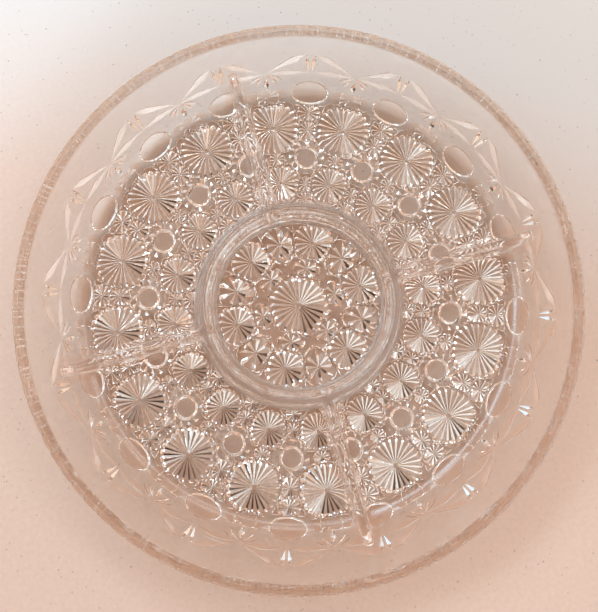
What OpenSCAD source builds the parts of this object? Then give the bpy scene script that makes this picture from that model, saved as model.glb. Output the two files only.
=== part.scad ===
// Round five-compartment relish dish in clear pressed glass.
// It stands on its patterned underside at z = 0, centred on the Z axis,
// with one straight divider along each of +X, +Y, -X and -Y.

/* [Dish] */
// Outside diameter across the rim
dish_d = 280; // [268:1:292]
// Height from the table to the top of the rim
dish_h = 38; // [35:0.5:42]
// Lean of the side wall away from upright, in degrees
wall_lean = 32; // [28:1:36]
// Thickness of the side wall, square to its face
wall_t = 5.5; // [4.8:0.1:6.5]
// Thickness of the floor over the pattern
floor_t = 4.1; // [3.6:0.1:5]
// Height of the pattern that stands out under the floor
relief = 2.4; // [2:0.1:2.8]
// Radius of the bend from floor to wall on the inside
inner_heel_r = 10; // [8:0.5:12]
// Radius of the bend from floor to wall on the outside
outer_heel_r = 14; // [12:0.5:16]

/* [Rim] */
// Width of the flat top of the rim
rim_w = 6; // [5:0.1:7]
// Height of the upright band under the rim's top
rim_h = 4; // [3:0.1:5]
// Rounding of the rim's top edges
rim_edge = 0.6; // [0.4:0.1:0.9]
// Width of one upright notch in the rim band
notch_w = 2.6; // [2:0.1:3.2]
// Depth of one upright notch in the rim band
notch_deep = 0.7; // [0.4:0.1:1]

/* [Dividers] */
// Height of the dividers and the centre ring above the floor
divider_h = 17.5; // [15:0.5:20]
// Radius of the rounded crest
crest_r = 2.1; // [1.8:0.1:2.6]
// Draft of the flanks, in degrees
draft = 7; // [5:0.5:9]
// Radius of the hollow bend at the foot of the flanks
root_r = 3; // [2:0.1:4]
// Radius from the dish's centre to the crest of the centre ring
ring_r = 49.5; // [47:0.5:52]
// Width of the plain foot ring under the centre ring
foot_w = 10; // [9:0.5:12]

/* [Pattern] */
// Turn of the underside pattern against the dividers, in degrees
pattern_turn = 3.4; // [0:0.1:8]
// Turn of the pattern under the centre well, in degrees
well_turn = 1.5; // [0:0.1:8]
// Height of the slanted edge round each block
bevel = 0.8; // [0.5:0.1:1.1]
// Depth of the rays at their outer ends
ray_cut = 1.3; // [0.8:0.1:1.6]
// Length of the slope that closes a ray at its outer end
ray_end = 1; // [0.6:0.1:1.4]
// Gap kept between the motifs
motif_gap = 0.2; // [0.15:0.05:0.5]
// Height of the leaf cuts that stand on the wall
leaf_high = 1.1; // [0.7:0.1:1.4]
// Seat clearance of the motifs that follow the curved wall
seat = 0.09; // [0.06:0.01:0.12]

/* [Hidden] */
glass = [0.90, 0.87, 0.84];
overrun = rim_w;

// How often each part of the pattern repeats round the dish
repeats = 16;
well_repeats = 6;
notches = 96;
pitch = 360 / repeats;

// Section of the dish, in radius and height
lean_tan = tan(wall_lean);
rim_r = dish_d / 2;
floor_z = relief + floor_t;
band_z = dish_h - rim_h;
function inside_r(z) = rim_r - rim_w - (dish_h - z) * lean_tan;
function outside_r(z) = inside_r(z) + wall_t / cos(wall_lean);

// Bends: start on the flat and tangent length, for a turn of 90 minus the lean
turn = 90 - wall_lean;
bend_share = tan(turn / 2);
inner_start_r = inside_r(floor_z) - inner_heel_r * bend_share;
heel_start_r = outside_r(relief) - outer_heel_r * bend_share;
bend_steps = 8;
function bend(r, z, size) = [
    for (i = [0:bend_steps])
        let (a = turn * i / bend_steps)
        [r + size * sin(a), z + size * (1 - cos(a))]
];
inner_bend = bend(inner_start_r, floor_z, inner_heel_r);
outer_bend = bend(heel_start_r, relief, outer_heel_r);

// Section of a divider, half of it: crest, flank and hollow root, at x from its middle
crest_z = floor_z + divider_h;
crest_axis_z = crest_z - crest_r;
flank_x = crest_r * cos(draft) + (crest_axis_z + crest_r * sin(draft) - floor_z) * tan(draft);
root_x = flank_x + root_r * tan((90 - draft) / 2);
crest_steps = 6;
root_steps = 5;
half_section = concat(
    [for (i = [0:crest_steps])
        let (a = 90 - (90 - draft) * i / crest_steps)
        [crest_r * cos(a), crest_axis_z + crest_r * sin(a)]],
    [for (i = [0:root_steps])
        let (a = 180 + draft + (90 - draft) * i / root_steps)
        [root_x + root_r * cos(a), floor_z + root_r + root_r * sin(a)]]
);
last_point = len(half_section) - 1;
left_half = [for (i = [last_point:-1:1]) [-half_section[i][0], half_section[i][1]]];

foot_in_r = ring_r - foot_w / 2;
foot_out_r = ring_r + foot_w / 2;

// The outside skin as one path: flat floor before 0, then the heel, then the wall
heel_len = outer_heel_r * turn * PI / 180;
heel_end = outer_bend[bend_steps];
wall_len = (band_z - heel_end[1]) / cos(wall_lean);
function skin_tilt(s) = s < 0 ? 0 : min(s / heel_len, 1) * turn;
function skin_rz(s, h) =
    let (
        a = skin_tilt(s),
        flat = min(s, 0),
        up = max(s - heel_len, 0),
        r = heel_start_r + flat + outer_heel_r * sin(a) + up * sin(wall_lean),
        z = relief + outer_heel_r * (1 - cos(a)) + up * cos(wall_lean)
    )
    [r + h * sin(a), z - h * cos(a)];
// A point on the skin: angle in degrees, path length and height out of the surface
function skin(a, s, h) =
    let (p = skin_rz(s, h))
    [p[0] * cos(a), p[0] * sin(a), p[1]];
function arc_deg(length, s) = length / skin_rz(s, 0)[0] * 180 / PI;

// Places and sizes of the motifs, as shares of the band from the foot ring to the heel
pattern_w = heel_start_r - foot_out_r;
large_ring_share = 0.775;
small_ring_share = 0.227;
large_long_share = 0.2465;
small_long_share = 0.175;
large_ring_r = foot_out_r + pattern_w * large_ring_share;
small_ring_r = foot_out_r + pattern_w * small_ring_share;
// Half sizes of the daisy blocks, [outwards, sideways]: sideways is a share of the half pitch
large_wide_share = 0.7225;
small_wide_share = 0.7475;
function half_pitch(r) = r * sin(pitch / 2);
large_half = [pattern_w * large_long_share, half_pitch(large_ring_r) * large_wide_share];
small_half = [pattern_w * small_long_share, half_pitch(small_ring_r) * small_wide_share];
inner_gap = large_ring_r - large_half[0] - small_ring_r - small_half[0];
button_ring_r = small_ring_r + small_half[0] + inner_gap / 2;
button_share = 0.347;
button_r = (small_half[0] + small_half[1]) * button_share;
mid_room = half_pitch(large_ring_r) - large_half[1];
ring_room = half_pitch(small_ring_r) - small_half[1];
button_room = half_pitch(button_ring_r) - button_r;
inner_side_share = 0.75;

// The pattern under the well, as shares of the well's radius
well_ring_share = 0.77;
well_cell_share = 0.216;
centre_cell_share = 0.35;
well_ring_r = foot_in_r * well_ring_share;
well_half = [foot_in_r * well_cell_share, foot_in_r * well_cell_share];
centre_cell = foot_in_r * centre_cell_share;
well_gap = well_ring_r - well_half[0] - centre_cell;
well_star_out_share = 0.85;
well_star_side_share = 0.6;
well_star_in_share = 0.95;

// Numbers of rays in the rosettes
large_rays = 24;
small_rays = 20;
well_rays = 16;

// Outline of a block with cut corners, from its half sizes and a share for the corners
corner_share = 0.655;
corner_ways = [
    [1, corner_share], [corner_share, 1], [-corner_share, 1], [-1, corner_share],
    [-1, -corner_share], [-corner_share, -1], [corner_share, -1], [1, -corner_share]
];
function block_outline(half) = [for (w = corner_ways) [half[0] * w[0], half[1] * w[1]]];
function inset(half) = half * (1 - bevel / min(half));
// Regular outline with its flats at the given distance
function even_outline(sides, flat) =
    [for (i = [0:sides - 1])
        let (a = (i + 0.5) * 360 / sides)
        [cos(a), sin(a)] * flat / cos(180 / sides)];
function at_height(points, z) = [for (p = points) [p[0], p[1], z]];
function ray_index(p, rays) = round(((atan2(p[1], p[0]) + 360) % 360) / (360 / rays));

// Block with rays cut into its flat face: the face is at z = 0 and the seat at z = relief
ridge_share = 0.9;
module rayed_block(seat_line, face_line, rays, reach) {
    sides = len(seat_line);
    function spoke(r, k, z) = [r * cos(k * 360 / rays), r * sin(k * 360 / rays), z];
    tips = [for (k = [0:rays - 1]) spoke(reach, k, 0)];
    ridges = [for (k = [0:rays - 1]) spoke(reach * ridge_share, k + 1 / 2, 0)];
    deeps = [for (k = [0:rays - 1]) spoke(reach - ray_end, k, ray_cut)];
    function tip(k) = 2 * sides + (k + rays) % rays;
    function ridge(k) = rays + tip(k);
    function deep(k) = 2 * rays + tip(k);
    centre = 2 * sides + 3 * rays;
    field = [for (i = [0:sides - 1])
        let (
            j = (i + 1) % sides,
            from = ray_index(face_line[i], rays),
            span = (ray_index(face_line[j], rays) - from + rays) % rays,
            middle = floor(span / 2)
        )
        each concat(
            [[i, j, tip(from + middle)]],
            [for (k = [0:span - 1]) [k < middle ? i : j, tip(from + k + 1), tip(from + k)]]
        )];
    slants = [for (i = [0:sides - 1])
        let (j = (i + 1) % sides)
        [i, sides + i, sides + j, j]];
    cuts = [for (k = [0:rays - 1])
        each [
            [centre, ridge(k - 1), deep(k)], [centre, deep(k), ridge(k)],
            [ridge(k - 1), tip(k), deep(k)], [deep(k), tip(k), ridge(k)],
            [ridge(k), tip(k), tip(k + 1)]
        ]];
    lid = [[for (i = [sides - 1:-1:0]) sides + i]];
    polyhedron(
        points = concat(
            at_height(face_line, 0), at_height(seat_line, relief), tips, ridges, deeps, [[0, 0, 0]]
        ),
        faces = concat(field, slants, cuts, lid)
    );
}

// Eight-pointed star, a low pyramid: reaches outwards, slanting, sideways and inwards
star_waist_share = 0.42;
star_high = relief - bevel;
function star_reach(i, out, slant, side, in) =
    i % 2 == 1 ? star_waist_share * min(out, slant, side, in)
    : i == 0 ? out
    : i == 8 ? in
    : i % 8 == 4 ? side
    : slant;
function star_line(out, slant, side, in) = [
    for (i = [0:15])
        let (a = i * 360 / 16)
        [cos(a), sin(a)] * star_reach(i, out, slant, side, in)
];
star_faces = [for (i = [0:15]) each [[16, i, (i + 1) % 16], [17, (i + 1) % 16, i]]];
module flat_star(out, slant, side, in) {
    line = at_height(star_line(out, slant, side, in), relief);
    polyhedron(points = concat(line, [[0, 0, relief - star_high], [0, 0, relief]]), faces = star_faces);
}

// The same star laid over the curved heel
module heel_star(a, s, reach) {
    line = star_line(reach, reach, reach, reach);
    points = concat(
        [for (p = line) skin(a + arc_deg(p[1], s), s + p[0], 2 * seat)],
        [skin(a, s, star_high), skin(a, s, 2 * seat)]
    );
    polyhedron(points = points, faces = star_faces);
}

// Leaf-shaped cut along the wall between two points [angle, path length] of the skin
module leaf(from, to, half_w, stations) {
    mean_s = (from[1] + to[1]) / 2;
    run_u = (to[0] - from[0]) * PI / 180 * skin_rz(mean_s, 0)[0];
    run_s = to[1] - from[1];
    run = norm([run_u, run_s]);
    side = [-run_s, run_u] / run;
    swell = [for (i = [1:stations]) sin(180 * i / (stations + 1))];
    middle = [for (i = [1:stations]) from + (to - from) * i / (stations + 1)];
    points = concat(
        [skin(from[0], from[1], seat), skin(to[0], to[1], seat)],
        [for (i = [0:stations - 1])
            let (w = half_w * swell[i], m = middle[i], du = arc_deg(side[0] * w, m[1]), ds = side[1] * w)
            each [
                skin(m[0] + du, m[1] + ds, seat),
                skin(m[0] - du, m[1] - ds, seat),
                skin(m[0], m[1], seat + leaf_high * swell[i])
            ]]
    );
    last = 3 * stations - 1;
    ends = [
        [0, 2, 4], [0, 4, 3], [0, 3, 2],
        [last, 1, last + 2], [last + 2, 1, last + 1], [last, last + 1, 1]
    ];
    body = [for (i = [0:1:stations - 2])
        let (p = 2 + 3 * i, q = p + 3)
        each [
            [p, q, q + 2], [p, q + 2, p + 2],
            [p + 2, q + 2, q + 1], [p + 2, q + 1, p + 1],
            [p + 1, q + 1, q], [p + 1, q, p]
        ]];
    polyhedron(points = points, faces = concat(ends, body));
}

// Plain block with slanted edges, the same way up as a rayed block
module plain_block(seat_line, face_line) {
    sides = len(seat_line);
    slants = [for (i = [0:sides - 1])
        let (j = (i + 1) % sides)
        [i, sides + i, sides + j, j]];
    polyhedron(
        points = concat(at_height(face_line, 0), at_height(seat_line, relief)),
        faces = concat([[for (i = [0:sides - 1]) i]], slants, [[for (i = [sides - 1:-1:0]) sides + i]])
    );
}

// Flat oval cut square across the heel, seated on the curved skin below it
oval_sides = 12;
oval_long_share = 0.47;
oval_wide_share = 0.21;
oval_edge_share = 1.16;
oval_proud_share = 0.17;
module heel_oval(a) {
    s = heel_len / 2;
    tilt = skin_tilt(s);
    face_at = skin_rz(s, relief * oval_proud_share);
    half_s = heel_len * oval_long_share;
    half_u = skin_rz(s, 0)[0] * pitch * PI / 180 * oval_wide_share;
    line = [for (i = [0:oval_sides - 1])
        let (t = i * 360 / oval_sides)
        [half_s * cos(t), half_u * sin(t)]];
    face = [for (p = line)
        let (r = face_at[0] + p[0] * cos(tilt), z = face_at[1] + p[0] * sin(tilt))
        [r * cos(a) - p[1] * sin(a), r * sin(a) + p[1] * cos(a), z]];
    function laid(k) = [for (p = line)
        let (q = p * k)
        skin(a + arc_deg(q[1], s + q[0]), s + q[0], 2 * seat)];
    points = concat(face, laid(oval_edge_share), laid(oval_edge_share / 2), [skin(a, s, 2 * seat)]);
    n = oval_sides;
    faces = concat(
        [[for (i = [0:n - 1]) i]],
        [for (i = [0:n - 1]) let (j = (i + 1) % n) each [[i, n + i, n + j], [i, n + j, j]]],
        [for (i = [0:n - 1]) let (j = (i + 1) % n)
            each [[n + i, 2 * n + i, 2 * n + j], [n + i, 2 * n + j, n + j]]],
        [for (i = [0:n - 1]) let (j = (i + 1) % n) [2 * n + i, 3 * n, 2 * n + j]]
    );
    polyhedron(points = points, faces = faces);
}

// Places of the children: once per repeat, on a ring under the dish
module round_dish(count, r, first) {
    for (k = [0:count - 1])
        rotate([0, 0, first + k * 360 / count])
            translate([r, 0, 0])
                children();
}
daisy_turn = pattern_turn + pitch / 2;
well_mid_turn = well_turn + 180 / well_repeats;

// Heights on the wall, as shares of its plain length, and the leaves between them
burst_share = 0.21;
ear_share = 0.6;
spike_foot_share = 0.66;
spike_head_share = 0.12;
burst_s = heel_len + wall_len * burst_share;
ear_s = heel_len + wall_len * ear_share;
spike_foot_s = heel_len * spike_foot_share;
spike_head_s = heel_len + wall_len * spike_head_share;
ear_turn_share = 0.05;
fan_turn_shares = [0.13, 0.2];
fan_foot_shares = [0.24, 0.165];
tip_turn_share = 0.015;
tip_gap_share = 0.07;
feather_w = 1.3;
bar_w = 0.8;
fan_w = 0.7;
spike_w = 1.3;
tip_w = 0.7;
long_stations = 3;
short_stations = 1;
function between(p, q, share) = p + (q - p) * share;
module leaf_between(p, q, half_w, stations) {
    leaf(between(p, q, tip_gap_share), between(p, q, 1 - tip_gap_share), half_w, stations);
}

// The glass above the floor
module rim_band() {
    color(glass)
        difference() {
            rotate_extrude($fn = 180)
                polygon([
                    [inside_r(band_z), band_z],
                    [rim_r - rim_edge, band_z],
                    [rim_r, band_z + rim_edge],
                    [rim_r, dish_h - rim_edge],
                    [rim_r - rim_edge, dish_h],
                    [rim_r - rim_w + rim_edge, dish_h],
                    [inside_r(dish_h - rim_edge), dish_h - rim_edge]
                ]);
            for (k = [0:notches - 1])
                rotate([0, 0, k * 360 / notches])
                    translate([rim_r, 0, band_z - overrun])
                        linear_extrude(rim_h + 2 * overrun)
                            polygon([[-notch_deep, 0], [notch_deep, -notch_w], [notch_deep, notch_w]]);
        }
}

module side_wall() {
    color(glass)
        rotate_extrude($fn = 180)
            polygon(concat(
                [[inner_start_r, relief]],
                outer_bend,
                [[outside_r(band_z), band_z], [inside_r(band_z), band_z]],
                [for (i = [bend_steps:-1:0]) inner_bend[i]]
            ));
}

module compartment_floor() {
    color(glass)
        rotate_extrude($fn = 180)
            translate([foot_out_r, relief])
                square([inner_start_r - foot_out_r, floor_t]);
}

module well_floor() {
    color(glass)
        translate([0, 0, relief])
            cylinder(h = floor_t, r = foot_in_r, $fn = 180);
}

module centre_ring() {
    color(glass)
        rotate_extrude($fn = 180)
            polygon(concat(
                [[foot_in_r, relief], [foot_out_r, relief], [foot_out_r, floor_z]],
                [for (i = [last_point:-1:0]) [ring_r + half_section[i][0], half_section[i][1]]],
                [for (i = [1:last_point]) [ring_r - half_section[i][0], half_section[i][1]]],
                [[foot_in_r, floor_z]]
            ));
}

module foot_ring() {
    color(glass)
        rotate_extrude($fn = 180)
            polygon([
                [foot_in_r + bevel, 0],
                [foot_out_r - bevel, 0],
                [foot_out_r, relief],
                [foot_in_r, relief]
            ]);
}

// The room that a divider fills, between the centre ring and the side wall
module divider_room() {
    cap_z = crest_z + crest_r;
    rotate_extrude($fn = 180)
        polygon(concat(
            [[ring_r, cap_z]],
            [for (p = half_section) [ring_r + p[0], p[1]]],
            inner_bend,
            [[inside_r(cap_z), cap_z]]
        ));
}

module divider(a) {
    color(glass)
        intersection() {
            rotate([0, 0, a])
                rotate([90, 0, 90])
                    linear_extrude(rim_r)
                        polygon(concat(half_section, left_half));
            divider_room();
        }
}

module divider_east() {
    divider(0);
}

module divider_north() {
    divider(90);
}

module divider_west() {
    divider(180);
}

module divider_south() {
    divider(270);
}

// The pattern under the compartments
module large_daisies() {
    color(glass)
        round_dish(repeats, large_ring_r, daisy_turn)
            rayed_block(
                block_outline(large_half), block_outline(inset(large_half)),
                large_rays, min(large_half) - bevel - motif_gap
            );
}

module small_daisies() {
    color(glass)
        round_dish(repeats, small_ring_r, daisy_turn)
            rayed_block(
                block_outline(small_half), block_outline(inset(small_half)),
                small_rays, min(small_half) - bevel - motif_gap
            );
}

module small_buttons() {
    color(glass)
        round_dish(repeats, button_ring_r, pattern_turn)
            plain_block(even_outline(8, button_r), even_outline(8, button_r - bevel));
}

module large_buttons() {
    color(glass)
        for (k = [0:repeats - 1])
            heel_oval(pattern_turn + k * pitch);
}

module mid_stars() {
    side = mid_room * cos(pitch / 2) - 2 * motif_gap;
    along = large_ring_r * cos(pitch / 2) - button_ring_r - button_r - motif_gap;
    color(glass)
        round_dish(repeats, large_ring_r * cos(pitch / 2), pattern_turn)
            flat_star(along, side, side, along);
}

module inner_stars() {
    reach = inner_gap / 2 - motif_gap;
    color(glass)
        round_dish(repeats, button_ring_r, daisy_turn)
            flat_star(reach, reach, button_room * inner_side_share, reach);
}

module ring_stars() {
    side = ring_room * cos(pitch / 2) - motif_gap;
    along = button_ring_r - button_r - small_ring_r * cos(pitch / 2) - motif_gap;
    color(glass)
        round_dish(repeats, small_ring_r * cos(pitch / 2), pattern_turn)
            flat_star(along, side, side, along);
}

module outer_stars() {
    edge_s = large_ring_r + large_half[0] - heel_start_r;
    reach = (spike_foot_s - edge_s - 2 * motif_gap) / 2;
    color(glass)
        for (k = [0:repeats - 1])
            heel_star(daisy_turn + k * pitch, edge_s + motif_gap + reach, reach);
}

// The pattern under the well
module centre_daisy() {
    color(glass)
        rotate([0, 0, well_turn])
            rayed_block(
                even_outline(well_repeats, centre_cell), even_outline(well_repeats, centre_cell - bevel),
                large_rays, centre_cell - bevel - motif_gap
            );
}

module well_daisies() {
    color(glass)
        round_dish(well_repeats, well_ring_r, well_turn)
            rayed_block(
                block_outline(well_half), block_outline(inset(well_half)),
                well_rays, min(well_half) - bevel - motif_gap
            );
}

module well_inner_stars() {
    reach = well_gap / 2 - motif_gap;
    color(glass)
        round_dish(well_repeats, centre_cell + well_gap / 2, well_turn)
            flat_star(reach, reach, reach, reach);
}

module well_outer_stars() {
    room = foot_in_r - well_ring_r;
    color(glass)
        round_dish(well_repeats, foot_in_r - room, well_mid_turn)
            flat_star(room * well_star_out_share, room * well_star_side_share,
                room * well_star_side_share, room * well_star_in_share);
}

// The cuts on the wall: the bursts lie over the daisies, the stars over the ovals
module wall_feathers() {
    color(glass)
        for (k = [0:repeats - 1], way = [-1, 1]) {
            burst = [daisy_turn + k * pitch, burst_s];
            ear = [burst[0] + way * pitch * (1 / 2 - ear_turn_share), ear_s];
            leaf_between(burst, ear, feather_w, long_stations);
        }
}

module wall_bars() {
    color(glass)
        for (k = [0:repeats - 1], way = [-1, 1]) {
            burst = [daisy_turn + k * pitch, burst_s];
            star = [burst[0] + way * pitch / 2, burst_s];
            leaf_between(burst, star, bar_w, long_stations);
        }
}

module wall_fans() {
    color(glass)
        for (k = [0:repeats - 1], way = [-1, 1], i = [0:len(fan_turn_shares) - 1]) {
            burst = [daisy_turn + k * pitch, burst_s];
            foot = [burst[0] + way * pitch * fan_turn_shares[i], burst_s - wall_len * fan_foot_shares[i]];
            leaf_between(burst, foot, fan_w, short_stations);
        }
}

module wall_tips() {
    color(glass)
        for (k = [0:repeats - 1], way = [-1, 1]) {
            star_a = daisy_turn + (k + 1 / 2) * pitch;
            star = [star_a + way * pitch * tip_turn_share, burst_s];
            ear = [star_a + way * pitch * ear_turn_share, ear_s];
            leaf_between(star, ear, tip_w, long_stations);
        }
}

module wall_spikes() {
    color(glass)
        for (k = [0:repeats - 1]) {
            a = daisy_turn + k * pitch;
            leaf([a, spike_foot_s], [a, spike_head_s], spike_w, long_stations);
        }
}

rim_band();
side_wall();
compartment_floor();
well_floor();
centre_ring();
foot_ring();
divider_east();
divider_north();
divider_west();
divider_south();
large_daisies();
small_daisies();
small_buttons();
large_buttons();
centre_daisy();
well_daisies();
well_inner_stars();
well_outer_stars();
mid_stars();
inner_stars();
outer_stars();
ring_stars();
wall_feathers();
wall_bars();
wall_fans();
wall_tips();
wall_spikes();
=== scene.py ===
"""Looks of a round divided relish dish in clear pressed glass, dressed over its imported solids.

The dish is worked out in millimetres, in the solids' own frame, and turned into metres when a mesh is made.
Every piece is a closed shell. Where two pieces meet inside the glass, both faces are see-through joints, so
that light runs through the dish as it does through one pressing.
"""

import logging
import math
from dataclasses import dataclass, field
from enum import Enum, IntEnum
from functools import partial
from typing import Callable

import bpy
import numpy as np
from mathutils import Matrix, Vector


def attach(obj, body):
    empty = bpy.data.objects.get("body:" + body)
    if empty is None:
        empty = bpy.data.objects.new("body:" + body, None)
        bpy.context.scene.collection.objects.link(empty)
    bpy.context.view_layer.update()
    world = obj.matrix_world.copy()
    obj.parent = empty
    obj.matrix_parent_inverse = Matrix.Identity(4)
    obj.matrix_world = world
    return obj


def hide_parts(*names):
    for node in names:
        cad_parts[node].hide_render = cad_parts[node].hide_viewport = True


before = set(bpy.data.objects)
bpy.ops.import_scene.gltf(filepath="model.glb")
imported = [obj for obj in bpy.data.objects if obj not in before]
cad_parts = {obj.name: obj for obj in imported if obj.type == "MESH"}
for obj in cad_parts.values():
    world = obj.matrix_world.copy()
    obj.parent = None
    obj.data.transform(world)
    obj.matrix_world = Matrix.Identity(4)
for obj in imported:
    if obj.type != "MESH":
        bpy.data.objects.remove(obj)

LOG = logging.getLogger("relish_dish")
MM = 0.001
IMAGE_SIZE = (598, 612)
TWO_PI = 2 * math.pi
TINY = 1e-6
# Direction of the picture's right edge about the dish's axis.
PICTURE_TURN = math.radians(-16.3)
# Total reflections inside the glass count as glossy bounces. With fewer of them rim and daisies turn grey.
GLOSSY_BOUNCES = 24
GLASS_BOUNCES = 32
JOINT_BOUNCES = 96

Array = np.ndarray
Colour = tuple[float, float, float, float]
Material = bpy.types.Material
NodeTree = bpy.types.NodeTree
Socket = bpy.types.NodeSocket
# Angle about the axis and length along the outside path.
SkinPlace = tuple[float, float]
Placement = Callable[[Array, Array, Array, float], Array]


class Side(IntEnum):
    """What a face of a glass piece is. The number is kept on each face of the mesh."""

    BOWL = 0
    SKIN = 1
    ROUND = 2
    FACET = 3
    JOINT = 4


class Quarter(Enum):
    """The four dividers, with the angle of each in degrees."""

    EAST = 0
    NORTH = 90
    WEST = 180
    SOUTH = 270

    @property
    def node(self) -> str:
        """Name of the divider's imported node."""
        return "divider_" + self.name.lower()

    @property
    def bearing(self) -> float:
        """Direction of the divider, in radians."""
        return math.radians(self.value)


def smooth_least(a: Array, b: Array, reach: float) -> Array:
    """Takes the smaller length, less (reach - difference) squared over four reaches where they come close."""
    return np.minimum(a, b) - np.maximum(reach - np.abs(a - b), 0) ** 2 / (4 * reach)


def smooth_most(a: Array, b: Array, reach: Array) -> Array:
    """Takes the larger height, and fills the corner between them as smooth_least cuts it."""
    return np.maximum(a, b) + np.maximum(reach - np.abs(a - b), 0) ** 2 / (4 * reach)


@dataclass
class Shell:
    """A surface in millimetres: its points, and three point numbers and a Side for each triangle."""

    points: Array
    faces: Array
    sides: Array

    @classmethod
    def from_grid(cls, points: Array, sides: Array, around: bool = True, along: bool = False) -> "Shell":
        """Covers a grid of points with two triangles for each of its cells.

        Args:
            points: grid of shape (rows, columns, 3).
            sides: Side of each cell, of shape (row cells, column cells), or a shape that spreads to it.
            around: whether the last column joins the first.
            along: whether the last row joins the first.

        Returns:
            The shell, whose faces look up where rows run outwards and columns run anticlockwise.
        """
        rows, columns = points.shape[:2]
        index = np.arange(rows * columns).reshape(rows, columns)
        if around:
            index = np.concatenate([index, index[:, :1]], axis=1)
        if along:
            index = np.concatenate([index, index[:1]], axis=0)
        a, b, c, d = index[:-1, :-1], index[1:, :-1], index[1:, 1:], index[:-1, 1:]
        cells = np.stack([np.stack([a, b, c], -1), np.stack([a, c, d], -1)], axis=2)
        kinds = np.broadcast_to(np.asarray(sides, np.int32), a.shape)
        return cls(points.reshape(-1, 3).astype(float), cells.reshape(-1, 3), np.repeat(kinds.ravel(), 2))

    @classmethod
    def join(cls, shells: list["Shell"]) -> "Shell":
        """Puts several shells into one, without touching their points.

        Args:
            shells: the shells.

        Returns:
            One shell with all their triangles.
        """
        starts = np.cumsum([0] + [len(s.points) for s in shells[:-1]])
        return cls(
            np.concatenate([s.points for s in shells]),
            np.concatenate([s.faces + n for s, n in zip(shells, starts)]),
            np.concatenate([s.sides for s in shells]),
        )

    def welded(self, step: float = 1e-4) -> "Shell":
        """Merges points that share a place and drops triangles that have shrunk to a line.

        Args:
            step: places closer than this, in millimetres, are one.

        Returns:
            A closed shell with its faces outwards.
        """
        keys = np.round(self.points / step).astype(np.int64)
        first, back = np.unique(keys, axis=0, return_index=True, return_inverse=True)[1:]
        faces = back.reshape(-1)[self.faces]
        kept = (faces[:, 0] != faces[:, 1]) & (faces[:, 1] != faces[:, 2]) & (faces[:, 2] != faces[:, 0])
        return Shell(self.points[first], faces[kept], self.sides[kept]).outward()

    def outward(self) -> "Shell":
        """Turns the faces round if they point inwards.

        They do where the volume that they enclose, the sum of the corners' triple products, is negative.

        Returns:
            The shell with its faces outwards.
        """
        a, b, c = (self.points[self.faces[:, i]] for i in range(3))
        if np.einsum("ij,ij->", a, np.cross(b, c)) >= 0:
            return self
        return Shell(self.points, self.faces[:, ::-1].copy(), self.sides)

    def to_object(self, name: str) -> bpy.types.Object:
        """Makes the mesh in metres, with each face's side in an attribute, and links it to the scene.

        Args:
            name: name of the mesh and of its object.

        Returns:
            The object.
        """
        mesh = bpy.data.meshes.new(name)
        mesh.from_pydata((self.points * MM).tolist(), [], self.faces.tolist())
        mesh.attributes.new("side", "INT", "FACE").data.foreach_set("value", self.sides.astype(np.int32))
        mesh.update()
        piece = bpy.data.objects.new(name, mesh)
        bpy.context.scene.collection.objects.link(piece)
        return piece


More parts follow.
